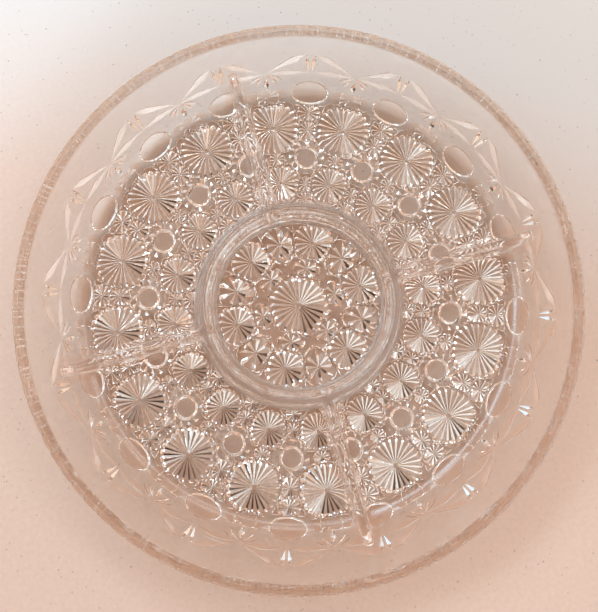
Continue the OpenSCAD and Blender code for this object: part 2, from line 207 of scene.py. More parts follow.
@dataclass(frozen=True)
class DishSection:
    """The section of the dish in millimetres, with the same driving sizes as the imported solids.

    Attributes:
        wall_lean, wall_t: lean of the wall from upright, in radians, and its thickness.
        floor_t, relief: thickness of the floor, and height of the pattern under it.
        inner_heel_r, outer_heel_r: radii of the bend from the floor into the wall, inside and outside.
        divider_h, crest_r: height of dividers and ring over the floor, and radius of their round crests.
        draft, root_r: slope of their flanks from upright, in radians, and radius of the hollow at their feet.
        ring_r, foot_w: radius of the centre ring's crest, and width of the foot ring.
        corner_r: difference at which the rounding between two ridges starts.
        fill_share: share of the lower height over the floor up to which the corner at the wall is filled.
        round_rows, open_columns: samples on each round of a ridge, and columns between two dividers.
    """

    rim_r: float = 140.0
    dish_h: float = 38.0
    wall_lean: float = math.radians(32)
    wall_t: float = 5.5
    floor_t: float = 4.1
    relief: float = 2.4
    inner_heel_r: float = 10.0
    outer_heel_r: float = 14.0
    rim_w: float = 6.0
    rim_h: float = 4.0
    divider_h: float = 17.5
    crest_r: float = 2.1
    draft: float = math.radians(7)
    root_r: float = 3.0
    ring_r: float = 49.5
    foot_w: float = 10.0
    corner_r: float = 3.0
    fill_share: float = 0.9
    round_rows: int = 7
    open_columns: int = 34

    @property
    def floor_z(self) -> float:
        """Height of the floor's upper face."""
        return self.relief + self.floor_t

    @property
    def band_z(self) -> float:
        """Height at which the wall ends and the rim band starts."""
        return self.dish_h - self.rim_h

    @property
    def turn(self) -> float:
        """Angle that each heel bends through."""
        return math.pi / 2 - self.wall_lean

    @property
    def foot_in_r(self) -> float:
        """Radius at which the well's floor ends."""
        return self.ring_r - self.foot_w / 2

    @property
    def foot_out_r(self) -> float:
        """Radius at which the compartments' floor starts."""
        return self.ring_r + self.foot_w / 2

    @property
    def crest_z(self) -> float:
        """Height of the crests."""
        return self.floor_z + self.divider_h

    @property
    def flank_top(self) -> tuple[float, float]:
        """Offset and height at which the crest's round goes over into the flank."""
        axis_z = self.crest_z - self.crest_r
        return self.crest_r * math.cos(self.draft), axis_z + self.crest_r * math.sin(self.draft)

    @property
    def root_x(self) -> float:
        """Offset at which the foot of a flank meets the floor.

        Returns:
            The crest's own offset, what the drafted flank adds on its way down, and what the hollow adds.
        """
        top_x, top_z = self.flank_top
        hollow = self.root_r * math.tan((math.pi / 2 - self.draft) / 2)
        return top_x + (top_z - self.floor_z) * math.tan(self.draft) + hollow

    @property
    def root_top_x(self) -> float:
        """Offset at which a flank goes over into the hollow at its foot."""
        return self.root_x - self.root_r * math.cos(self.draft)

    def inside_r(self, z: float) -> float:
        """Radius of the straight part of the wall's inner face at a height."""
        return self.rim_r - self.rim_w - (self.dish_h - z) * math.tan(self.wall_lean)

    def outside_r(self, z: float) -> float:
        """Radius of the straight part of the wall's outer face at a height."""
        return self.inside_r(z) + self.wall_t / math.cos(self.wall_lean)

    @property
    def inner_start_r(self) -> float:
        """Radius at which the floor's upper face bends up."""
        return self.inside_r(self.floor_z) - self.inner_heel_r * math.tan(self.turn / 2)

    @property
    def heel_start_r(self) -> float:
        """Radius at which the underside bends up."""
        return self.outside_r(self.relief) - self.outer_heel_r * math.tan(self.turn / 2)

    @property
    def heel_len(self) -> float:
        """Length of the bend of the underside."""
        return self.outer_heel_r * self.turn

    @property
    def wall_len(self) -> float:
        """Length of the straight part of the wall's outer face."""
        return (self.band_z - self.skin_rz(np.array(self.heel_len), 0)[1]) / math.cos(self.wall_lean)

    def skin_rz(self, s: Array, h: Array) -> tuple[Array, Array]:
        """Follows the outside as one path: floor before 0, then an arc, then the straight wall.

        Args:
            s: length along the path from the start of the heel.
            h: height out of the surface.

        Returns:
            Radius and height of the point.
        """
        tilt = np.clip(s / self.heel_len, 0, 1) * self.turn
        flat = np.minimum(s, 0)
        up = np.maximum(s - self.heel_len, 0)
        r = self.heel_start_r + flat + self.outer_heel_r * np.sin(tilt) + up * math.sin(self.wall_lean)
        z = self.relief + self.outer_heel_r * (1 - np.cos(tilt)) + up * math.cos(self.wall_lean)
        return r + h * np.sin(tilt), z - h * np.cos(tilt)

    def skin_normal(self, points: Array) -> Array:
        """Gives the outward direction of the outside skin near some points, from the tilt at their radius.

        Args:
            points: one row of x, y, z for each point.

        Returns:
            One unit vector for each point.
        """
        r = np.hypot(points[:, 0], points[:, 1])
        sine = np.clip((r - self.heel_start_r) / self.outer_heel_r, 0, math.sin(self.turn))
        share = sine / np.maximum(r, TINY)
        return np.stack([points[:, 0] * share, points[:, 1] * share, -np.sqrt(1 - sine ** 2)], axis=1)

    def ridge_height(self, x: Array) -> Array:
        """Height of a divider or of the centre ring at an offset from its middle.

        It is a round crest, a straight drafted flank, a hollow round at the foot, and then the floor.

        Args:
            x: offset from the ridge's middle.

        Returns:
            The height.
        """
        top_x, top_z = self.flank_top
        crest = self.crest_z - self.crest_r + np.sqrt(np.maximum(self.crest_r ** 2 - x ** 2, 0))
        flank = top_z - (x - top_x) / math.tan(self.draft)
        root = self.floor_z + self.root_r - np.sqrt(np.maximum(self.root_r ** 2 - (self.root_x - x) ** 2, 0))
        stretches = [x < top_x, x < self.root_top_x, x < self.root_x]
        return np.select(stretches, [crest, flank, root], self.floor_z)

    def inner_height(self, r: Array) -> Array:
        """Height of floor and wall inside the dish without ridges: flat, then an arc, then a straight cone.

        Args:
            r: distance from the dish's axis.

        Returns:
            The height.
        """
        arc = np.clip(r - self.inner_start_r, 0, self.inner_heel_r * math.sin(self.turn))
        bend = self.inner_heel_r - np.sqrt(self.inner_heel_r ** 2 - arc ** 2)
        up = np.maximum(r - self.inner_start_r - arc, 0) / math.tan(self.wall_lean)
        return self.floor_z + bend + up

    def bowl_height(self, x: Array, y: Array) -> Array:
        """Height of everything inside the dish over a point of the plan.

        Dividers and ring share one section over the rounded smaller offset from either. Where they meet the
        wall, the larger height is taken with its corner filled.

        Args:
            x: first coordinate of the point.
            y: second coordinate of the point.

        Returns:
            The height.
        """
        r = np.hypot(x, y)
        ring_x = np.abs(r - self.ring_r)
        line_x = np.where(r > self.ring_r, np.minimum(np.abs(x), np.abs(y)), self.rim_r)
        ridge = self.ridge_height(np.maximum(smooth_least(line_x, ring_x, self.corner_r), 0))
        base = self.inner_height(r)
        room = self.fill_share * np.minimum(base, ridge) - self.fill_share * self.floor_z
        return smooth_most(base, ridge, np.clip(room, TINY, self.corner_r))

    def bowl_normal(self, points: Array) -> Array:
        """Gives the upward direction of the bowl's surface over some points, from its slope in x and in y.

        Args:
            points: one row of x, y, z for each point.

        Returns:
            One unit vector for each point.
        """
        step = 0.02
        x, y = points[:, 0], points[:, 1]
        dx = self.bowl_height(x + step, y) - self.bowl_height(x - step, y)
        dy = self.bowl_height(x, y + step) - self.bowl_height(x, y - step)
        up = np.stack([-dx, -dy, np.full_like(dx, 2 * step)], axis=1)
        return up / np.linalg.norm(up, axis=1, keepdims=True)

    @property
    def half_offsets(self) -> Array:
        """Offsets from a ridge's middle at which its section is sampled.

        They end a quarter of the rounding's reach past its foot, where the ridge has no effect any more.

        Returns:
            The offsets, outwards from 0.
        """
        top_x, root_top_x = self.flank_top[0], self.root_top_x
        crest = self.crest_r * np.sin(np.linspace(0, math.pi / 2 - self.draft, self.round_rows))
        hollow = np.linspace(math.pi + self.draft, 1.5 * math.pi, self.round_rows)
        root = self.root_x + self.root_r * np.cos(hollow)
        return np.concatenate([crest, [(top_x + root_top_x) / 2], root, [self.root_x + self.corner_r / 4]])

    @property
    def offsets(self) -> Array:
        """The same offsets on both sides of the middle."""
        half = self.half_offsets
        return np.concatenate([-half[:0:-1], half])

    def columns(self, radius: Array) -> Array:
        """Angles of the columns that all pieces share, at some radii.

        In each quarter the first columns run along a divider at fixed offsets, so their angle is the arc sine
        of offset over radius, and the others split the room to the next divider evenly.

        Args:
            radius: radii, of shape (rows,).

        Returns:
            Angles of shape (rows, columns).
        """
        held = np.maximum(radius, self.foot_in_r)[:, None]
        across = np.arcsin(self.offsets / held)
        edge = across[:, -1:]
        shares = np.arange(1, self.open_columns + 1) / (self.open_columns + 1)
        between = edge + (math.pi / 2 - 2 * edge) * shares
        quarter = np.concatenate([across, between], axis=1)
        return np.concatenate([quarter + k * math.pi / 2 for k in range(4)], axis=1)


@dataclass
class GlassPiece:
    """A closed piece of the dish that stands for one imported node, and its object once it is built."""

    node: str
    shell: Shell
    piece: bpy.types.Object | None = field(default=None)

    def build(self) -> bpy.types.Object:
        """Makes the piece's object."""
        self.piece = self.shell.to_object(self.node + "_glass")
        return self.piece

    def socket(self, cutters: list["GlassPiece"]) -> None:
        """Sinks sockets for other pieces' roots into this one, whose walls are joints.

        Args:
            cutters: pieces whose roots reach into this one.
        """
        tool = Shell.join([c.shell for c in cutters])
        tool = Shell(tool.points, tool.faces, np.full(len(tool.faces), Side.JOINT)).to_object("socket_tool")
        cut = self.piece.modifiers.new("sockets", "BOOLEAN")
        cut.operation = "DIFFERENCE"
        cut.solver = "MANIFOLD"
        cut.object = tool
        view = bpy.context.evaluated_depsgraph_get()
        mesh = bpy.data.meshes.new_from_object(self.piece.evaluated_get(view))
        self.piece.modifiers.remove(cut)
        self.piece.data = mesh
        bpy.data.objects.remove(tool)

    def dress(self, section: DishSection, glass: Material, joint: Material,
              bowl_glass: Material, grain: "Grain | None" = None) -> None:
        """Gives the piece its materials, its true surface directions and its place in the frame.

        Args:
            section: the section that the smooth sides follow.
            glass: material of the faces that meet the air.
            joint: material of the faces that meet other glass.
            bowl_glass: material of the faces inside the dish.
            grain: its drawn streaks, where it has any.
        """
        mesh = self.piece.data
        sides = np.empty(len(mesh.polygons), np.int32)
        mesh.attributes["side"].data.foreach_get("value", sides)
        mesh.materials.clear()
        for material in (glass, joint, bowl_glass):
            mesh.materials.append(material)
        slots = np.select([sides == Side.JOINT, sides == Side.BOWL], [1, 2], 0)
        mesh.polygons.foreach_set("material_index", slots.astype(np.int32))
        set_directions(mesh, sides, section)
        mesh.update()
        if grain is not None:
            grain.lay(mesh)
        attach(self.piece, "root")
        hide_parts(self.node)
        LOG.info("%s: %d faces", self.piece.name, len(mesh.polygons))


def set_directions(mesh: bpy.types.Mesh, sides: Array, section: DishSection) -> None:
    """Sets the shading direction at each corner of each face from the surface that the face belongs to.

    The bowl and the skin follow their formulas, a round side turns its face's own direction about the dish's
    axis to the corner, and facets and joints stay flat.

    Args:
        mesh: mesh in metres.
        sides: Side of each face.
        section: the section whose formulas are followed.
    """
    corners = np.empty(len(mesh.loops), np.int32)
    mesh.loops.foreach_get("vertex_index", corners)
    places = np.empty(len(mesh.vertices) * 3)
    mesh.vertices.foreach_get("co", places)
    points = places.reshape(-1, 3)[corners] / MM
    counts = np.empty(len(mesh.polygons), np.int32)
    mesh.polygons.foreach_get("loop_total", counts)
    owner = np.repeat(np.arange(len(counts)), counts)
    flat = np.empty(len(counts) * 3)
    mesh.polygons.foreach_get("normal", flat)
    flat = flat.reshape(-1, 3)
    middle = np.stack([np.bincount(owner, points[:, i], len(counts)) / counts for i in range(3)], axis=1)
    kind = sides[owner]
    result = flat[owner].copy()
    bowl, skin, turned = kind == Side.BOWL, kind == Side.SKIN, kind == Side.ROUND
    result[bowl] = section.bowl_normal(points[bowl])
    result[skin] = section.skin_normal(points[skin])
    face_angle = np.arctan2(middle[:, 1], middle[:, 0])[owner[turned]]
    swing = np.arctan2(points[turned, 1], points[turned, 0]) - face_angle
    x, y = result[turned, 0], result[turned, 1]
    result[turned, 0] = x * np.cos(swing) - y * np.sin(swing)
    result[turned, 1] = x * np.sin(swing) + y * np.cos(swing)
    mesh.polygons.foreach_set("use_smooth", np.ones(len(counts), bool))
    mesh.normals_split_custom_set(result.tolist())


class Run(Enum):
    """Which way the drawn streaks of a piece run."""

    ROUND = "round the axis"
    ALONG = "along a divider"
    ACROSS = "across the rim"


@dataclass(frozen=True)
class Grain:
    """The drawn streaks of a piece, kept at each vertex as its place in the streak pattern.

    It runs one way, with the bearing of its divider in radians. The pattern is shrunk along the streaks to
    the drawn share, and round the rim to the spread.
    """

    run: Run
    bearing: float = 0.0
    drawn: float = 0.014
    spread: float = 0.22

    def places(self, points: Array) -> Array:
        """Works out where each point lies in the pattern.

        Round the ring the fine coordinate is the distance from the axis, and along a divider it is that from
        its middle. The coordinates along the ridge are shrunk, and the height is added to one of them. Across
        the rim the pattern lies round one circle, and the shrunk coordinate is radius and height together.

        Args:
            points: one row of x, y, z for each point, in metres.

        Returns:
            One row of three coordinates for each point.
        """
        x, y, z = points.T
        if self.run is Run.ACROSS:
            r = np.hypot(x, y)
            share = self.spread * r.max() / r
            return np.stack([x * share, y * share, (r + z) * self.drawn], axis=1)
        if self.run is Run.ROUND:
            return np.stack([np.hypot(x, y), x * self.drawn + z, y * self.drawn], axis=1)
        across = y * math.cos(self.bearing) - x * math.sin(self.bearing)
        along = (x * math.cos(self.bearing) + y * math.sin(self.bearing)) * self.drawn
        return np.stack([across, along + z, np.zeros_like(x)], axis=1)

    def lay(self, mesh: bpy.types.Mesh) -> None:
        """Writes the places to the mesh's grain attribute.

        Args:
            mesh: mesh in metres.
        """
        flat = np.empty(len(mesh.vertices) * 3)
        mesh.vertices.foreach_get("co", flat)
        grain = self.places(flat.reshape(-1, 3))
        mesh.attributes.new("grain", "FLOAT_VECTOR", "POINT").data.foreach_set("vector", grain.ravel())


def ring_points(radius: Array, angle: Array, height: Array) -> Array:
    """Turns radii, angles and heights of one grid into points."""
    return np.stack(np.broadcast_arrays(radius * np.cos(angle), radius * np.sin(angle), height), axis=-1)


@dataclass
class Bowl:
    """The smooth glass: floors, wall, centre ring, foot ring and dividers.

    Attributes:
        sink: depth in millimetres that the dividers are let into floor and wall.
        divider_end_r: radius at which a divider has run out in the wall.
        blend_drop: how far under the crests the rows get closer, as a share of the corners' rounding.
        bend_rows, low_rows, blend_rows, top_rows: rows up the heel, wall, dividers' ends, and over them.
        foot_lines, foot_line_deep: number and depth of the turned lines under the foot ring.
    """

    section: DishSection
    sink: float = 0.25
    divider_end_r: float = 127.8
    blend_drop: float = 2.2
    least_step: float = 0.2
    floor_rows: int = 12
    well_rows: int = 8
    bend_rows: int = 12
    low_rows: int = 5
    blend_rows: int = 22
    top_rows: int = 3
    outer_rows: int = 7
    outer_bend_rows: int = 15
    foot_lines: int = 5
    foot_line_deep: float = 0.28

    def zone_columns(self) -> tuple[Array, Array]:
        """Gives the columns of a floor piece, where those at a divider's edges come twice.

        Returns:
            Column numbers, and whether each column belongs to the sunk strip under a divider.
        """
        across = len(self.section.offsets)
        quarter = across + self.section.open_columns
        one = np.concatenate([[0], np.arange(across), [across - 1], np.arange(across, quarter)])
        sunk = np.zeros(len(one), bool)
        sunk[1:across + 1] = True
        return np.concatenate([one + k * quarter for k in range(4)]), np.tile(sunk, 4)

    def floor_piece(self, top_r: Array, top_sunk: Array, low_r: Array, low_z: Array) -> Shell:
        """Builds a piece of floor or wall as a closed section turned about the axis.

        Its upper face follows the bowl's height, and the inner height less the sink under the dividers. Its
        lower face follows the given path.

        Args:
            top_r: radii of the upper rows, outwards.
            top_sunk: whether each upper row is sunk under the dividers.
            low_r: radii of the lower rows, inwards.
            low_z: heights of the lower rows.

        Returns:
            The closed shell.
        """
        section = self.section
        numbers, column_sunk = self.zone_columns()
        top = ring_points(top_r[:, None], section.columns(top_r)[:, numbers], 0.0)
        sunk = top_sunk[:, None] & column_sunk
        low_base = np.broadcast_to(section.inner_height(top_r)[:, None] - self.sink, sunk.shape)
        top[..., 2] = np.where(sunk, low_base, section.bowl_height(top[..., 0], top[..., 1]))
        low = ring_points(low_r[:, None], section.columns(low_r)[:, numbers], low_z[:, None])
        points = np.concatenate([top, low])
        rows = len(top_r)
        wide = np.concatenate([sunk, sunk[:, :1]], axis=1)
        touched = wide[:-1, :-1] | wide[1:, :-1] | wide[1:, 1:] | wide[:-1, 1:]
        sides = np.full((len(points), touched.shape[1]), int(Side.SKIN))
        sides[:rows - 1] = np.where(touched, int(Side.JOINT), int(Side.BOWL))
        sides[rows - 1] = Side.JOINT
        sides[-1] = Side.JOINT
        return Shell.from_grid(points, sides, along=True).welded()

    def turned(self, top_r: Array, low_r: Array) -> Array:
        """Turns a section about the axis, with the bowl's height over its upper rows and a flat underside.

        Args:
            top_r: radii of the upper rows, outwards.
            low_r: radii of the lower rows, inwards.

        Returns:
            Grid of points.
        """
        section = self.section
        top = ring_points(top_r[:, None], section.columns(top_r), 0.0)
        top[..., 2] = section.bowl_height(top[..., 0], top[..., 1])
        low = ring_points(low_r[:, None], section.columns(low_r), section.relief)
        return np.concatenate([top, low])

    def floor_radii(self) -> Array:
        """Radii of the rows over the compartments' floor: down the ring's foot, and then evenly outwards.

        Returns:
            The radii, outwards.
        """
        section = self.section
        foot = section.ring_r + section.half_offsets
        first = foot[foot > section.foot_out_r + self.least_step]
        rest = np.linspace(first[-1], section.inner_start_r, self.floor_rows)[1:]
        return np.concatenate([[section.foot_out_r], first, rest])

    def wall_radii(self) -> Array:
        """Radii of the rows up the inside of the wall, closer together where the dividers run out in it.

        Returns:
            The radii, outwards.
        """
        section = self.section
        tilt = np.linspace(0, section.turn, self.bend_rows)
        bend = section.inner_start_r + section.inner_heel_r * np.sin(tilt)
        blend_r = section.inside_r(section.crest_z - self.blend_drop * section.corner_r)
        low = np.linspace(bend[-1], blend_r, self.low_rows)[1:]
        blend = np.linspace(blend_r, self.divider_end_r, self.blend_rows)[1:]
        return np.concatenate([bend, low, blend])

    def compartment_floor(self) -> GlassPiece:
        """The ring-shaped floor of the four outer compartments.

        Returns:
            The piece.
        """
        section = self.section
        top_r = self.floor_radii()
        low_r = np.array([section.inner_start_r, section.foot_out_r])
        low_z = np.full(len(low_r), section.relief)
        shell = self.floor_piece(top_r, np.ones(len(top_r), bool), low_r, low_z)
        return GlassPiece("compartment_floor", shell)

    def side_wall(self) -> GlassPiece:
        """The flared wall with the heel at its foot.

        Returns:
            The piece.
        """
        section = self.section
        lower = self.wall_radii()
        upper = np.linspace(self.divider_end_r, section.inside_r(section.band_z), self.top_rows)
        top_r = np.concatenate([lower, upper])
        sunk = np.arange(len(top_r)) < len(lower)
        down = np.linspace(section.heel_len + section.wall_len, section.heel_len, self.outer_rows)
        bend = np.linspace(section.heel_len, 0, self.outer_bend_rows)[1:]
        path = np.concatenate([down, bend, [section.inner_start_r - section.heel_start_r]])
        low_r, low_z = section.skin_rz(path, 0)
        return GlassPiece("side_wall", self.floor_piece(top_r, sunk, low_r, low_z))

    def well_floor(self) -> GlassPiece:
        """The round floor of the centre well, closed at its two poles.

        Returns:
            The piece.
        """
        section = self.section
        foot = section.ring_r - section.half_offsets[::-1]
        first = foot[foot < section.foot_in_r - self.least_step]
        top_r = np.concatenate([np.linspace(0, first[0], self.well_rows), first[1:], [section.foot_in_r]])
        points = self.turned(top_r, np.array([section.foot_in_r, 0.0]))
        sides = np.full(len(points) - 1, int(Side.BOWL))
        sides[-2:] = Side.JOINT, Side.SKIN
        shell = Shell.from_grid(points, sides[:, None])
        return GlassPiece("well_floor", shell.welded())

    def centre_ring(self) -> GlassPiece:
        """The ring-shaped divider round the well, with the stubs on which the straight dividers start.

        Returns:
            The piece.
        """
        section = self.section
        rows = section.ring_r + section.offsets
        inside = (rows > section.foot_in_r + self.least_step) & (rows < section.foot_out_r - self.least_step)
        top_r = np.concatenate([[section.foot_in_r], rows[inside], [section.foot_out_r]])
        points = self.turned(top_r, np.array([section.foot_out_r, section.foot_in_r]))
        sides = np.full(len(points), int(Side.JOINT))
        sides[:len(top_r) - 1] = Side.BOWL
        shell = Shell.from_grid(points, sides[:, None], along=True)
        return GlassPiece("centre_ring", shell.welded())

    def foot_ring(self, bevel: float) -> GlassPiece:
        """The ring that the dish stands on, with slanted sides and turned lines under its foot.

        Args:
            bevel: width of each slanted side.

        Returns:
            The piece.
        """
        section = self.section
        corners = 2 * self.foot_lines + 1
        foot_r = np.linspace(section.foot_out_r - bevel, section.foot_in_r + bevel, corners)
        foot_z = np.where(np.arange(corners) % 2 == 0, 0.0, self.foot_line_deep)
        r = np.concatenate([[section.foot_in_r, section.foot_out_r], foot_r])
        z = np.concatenate([[section.relief, section.relief], foot_z])
        points = ring_points(r[:, None], section.columns(np.full(len(r), section.ring_r)), z[:, None])
        sides = np.full(len(r), int(Side.ROUND))
        sides[0] = Side.JOINT
        shell = Shell.from_grid(points, sides[:, None], along=True)
        return GlassPiece("foot_ring", shell.welded())

    def divider(self, quarter: Quarter) -> GlassPiece:
        """One straight divider from the centre ring until it has run out in the wall.

        Each row is a closed loop: over the bowl's height from edge to edge, and back below the inner height.

        Args:
            quarter: which of the four it is.

        Returns:
            The piece.
        """
        section = self.section
        rows = np.concatenate([self.floor_radii(), self.wall_radii()[1:]])
        across = len(section.offsets)
        angle = section.columns(rows)[:, :across] + quarter.bearing
        top = ring_points(rows[:, None], angle, 0.0)
        top[..., 2] = section.bowl_height(top[..., 0], top[..., 1])
        low = ring_points(rows[:, None], angle, section.inner_height(rows)[:, None] - self.sink)
        loop = np.concatenate([top, low[:, ::-1]], axis=1)
        sides = np.full(2 * across, int(Side.BOWL))
        sides[across - 1:] = Side.JOINT
        body = Shell.from_grid(loop, sides[None, :])
        ends = [
            Shell.from_grid(np.stack([low[0], top[0]]), Side.JOINT, around=False),
            Shell.from_grid(np.stack([top[-1], low[-1]]), Side.JOINT, around=False)]
        return GlassPiece(quarter.node, Shell.join([body, *ends]).welded())


@dataclass
class RimBand:
    """The flat-topped rim with upright notches round its outside.

    It has notches of one width and depth, an inner round between the wall's inside and the flat top, and
    outer rounds above and below the notched face.
    """

    section: DishSection
    notches: int = 96
    notch_w: float = 2.6
    notch_deep: float = 0.7
    inner_round: float = 1.0
    outer_round: float = 0.8
    arc_points: int = 4
    plain_points: int = 3

    def rounded(self, centre: tuple[float, float], radius: float, start: float, end: float) -> Array:
        """Points on an arc of the section, as radius and height, between two angles in radians."""
        turn = np.linspace(start, end, self.arc_points)
        return np.stack([centre[0] + radius * np.cos(turn), centre[1] + radius * np.sin(turn)], axis=1)

    def profile(self) -> Array:
        """Follows the section from the wall's inside over the flat top and the notched face to its outside.

        The inner round's middle lies inwards of the rim's edge by the rim's width, less the tangent of half
        the angle between wall and top times the round's radius.

        Returns:
            Radius and height of each point.
        """
        section = self.section
        lean = section.wall_lean
        slack = self.inner_round * math.tan((math.pi / 2 - lean) / 2)
        inner = (section.rim_r - section.rim_w + slack, section.dish_h - self.inner_round)
        upper = (section.rim_r - self.outer_round, section.dish_h - self.outer_round)
        lower = (section.rim_r - self.outer_round, section.band_z + self.outer_round)
        return np.concatenate([
            [[section.inside_r(section.band_z), section.band_z]],
            self.rounded(inner, self.inner_round, math.pi - lean, math.pi / 2),
            self.rounded(upper, self.outer_round, math.pi / 2, 0),
            self.rounded(lower, self.outer_round, 0, -math.pi / 2),
            [[section.outside_r(section.band_z), section.band_z]]])

    def build(self) -> GlassPiece:
        """Turns the section about the axis, held inside the notches.

        A notch is a V whose depth falls evenly to nothing over half its width, so a section point lies at the
        smaller of its own radius and the V's.

        Returns:
            The piece.
        """
        section = self.section
        path = self.profile()
        pitch = TWO_PI / self.notches
        half = self.notch_w / 2 / section.rim_r
        plain = np.linspace(half, pitch - half, self.plain_points + 2)[1:-1]
        one = np.concatenate([[-half, -half / 2, 0, half / 2, half], plain])
        angle = (one[None, :] + pitch * np.arange(self.notches)[:, None]).ravel()
        across = np.abs((angle + pitch / 2) % pitch - pitch / 2) / half
        v_radius = section.rim_r - self.notch_deep * np.maximum(1 - across, 0)
        radius = np.minimum(path[:, :1], v_radius[None, :])
        points = ring_points(radius, angle[None, :], path[:, 1:])
        sides = np.full((len(path), len(angle)), int(Side.ROUND))
        in_notch = (across < 1 - TINY) | (np.roll(across, -1) < 1 - TINY)
        outer = slice(1 + self.arc_points, len(path) - 2)
        sides[outer] = np.where(in_notch, int(Side.FACET), int(Side.ROUND))
        sides[0] = Side.BOWL
        sides[-1] = Side.JOINT
        return GlassPiece("rim_band", Shell.from_grid(points, sides, along=True).welded())


@dataclass(frozen=True)
class Cell:
    """The convex patch of the underside that a motif fills, as half-planes round its middle.

    Each edge has the direction that it faces, in radians, and its distance from the middle.
    """

    facing: Array
    away: Array

    def with_edges(self, facing: list[float], away: list[float]) -> "Cell":
        """Adds edges to the patch."""
        return Cell(np.concatenate([self.facing, facing]), np.concatenate([self.away, away]))

    def reach(self, angle: Array, inset: float = 0.0) -> Array:
        """Distance from the middle to the patch's edge in some directions.

        It is the smallest positive ratio of an edge's distance, less the inset, to the cosine between the
        direction and the edge's facing.

        Args:
            angle: directions in radians.
            inset: how far every edge is moved inwards.

        Returns:
            The distances.
        """
        cosine = np.cos(np.asarray(angle)[None] - self.facing.reshape(-1, *[1] * np.ndim(angle)))
        away = (self.away - inset).reshape(-1, *[1] * np.ndim(angle))
        return np.where(cosine > TINY, away / np.maximum(cosine, TINY), np.inf).min(axis=0)

    def corners(self) -> Array:
        """Directions of the patch's corners: the crossings of two edges that lie within all of them.

        Returns:
            The directions in radians, each once.
        """
        normal = np.stack([np.cos(self.facing), np.sin(self.facing)], axis=1)
        i, j = np.triu_indices(len(self.away), 1)
        cross = normal[i, 0] * normal[j, 1] - normal[i, 1] * normal[j, 0]
        safe = np.where(np.abs(cross) > TINY, cross, np.inf)
        x = (self.away[i] * normal[j, 1] - self.away[j] * normal[i, 1]) / safe
        y = (self.away[j] * normal[i, 0] - self.away[i] * normal[j, 0]) / safe
        point = np.stack([x, y])
        kept = np.isfinite(safe) & ((normal @ point - self.away[:, None]).max(axis=0) < TINY)
        return np.unique(np.round(np.arctan2(y[kept], x[kept]) % TWO_PI, 6))


def nearest(angles: Array, corners: Array) -> Array:
    """Gives for each direction the corner direction nearest to it."""
    gap = np.abs((angles[:, None] - corners[None, :] + math.pi) % TWO_PI - math.pi)
    return corners[gap.argmin(axis=1)]


@dataclass
class Motif:
    """A moulded shape in its own plan: rings of points from its middle out to its seat on the skin.

    All three arrays have the shape (rings, columns): u outwards, v sideways and h out of the skin.
    """

    u: Array
    v: Array
    h: Array

    def plug(self, place: Placement, angle: float, root: float) -> Shell:
        """Puts the motif in its place and closes it with a root inside the glass.

        Args:
            place: turns u, v, h and the motif's angle into points.
            angle: angle of the motif about the dish's axis, in radians.
            root: depth of the root.

        Returns:
            The closed shell.
        """
        middle = np.zeros_like(self.u[:1])
        seat = np.full_like(middle, -root)
        u = np.concatenate([self.u, self.u[-1:], middle + self.u[0].mean()])
        v = np.concatenate([self.v, self.v[-1:], middle + self.v[0].mean()])
        h = np.concatenate([self.h, seat, seat])
        sides = np.full(len(u) - 1, int(Side.FACET))
        sides[-2:] = Side.JOINT
        return Shell.from_grid(place(u, v, h, angle), sides[:, None]).welded()


def side_by_side(*parts: Array) -> Array:
    """Lays the points of every ray, of shape (rings, rays) each, beside each other."""
    grid = np.stack(np.broadcast_arrays(*parts), axis=-1)
    return grid.reshape(len(grid), -1)


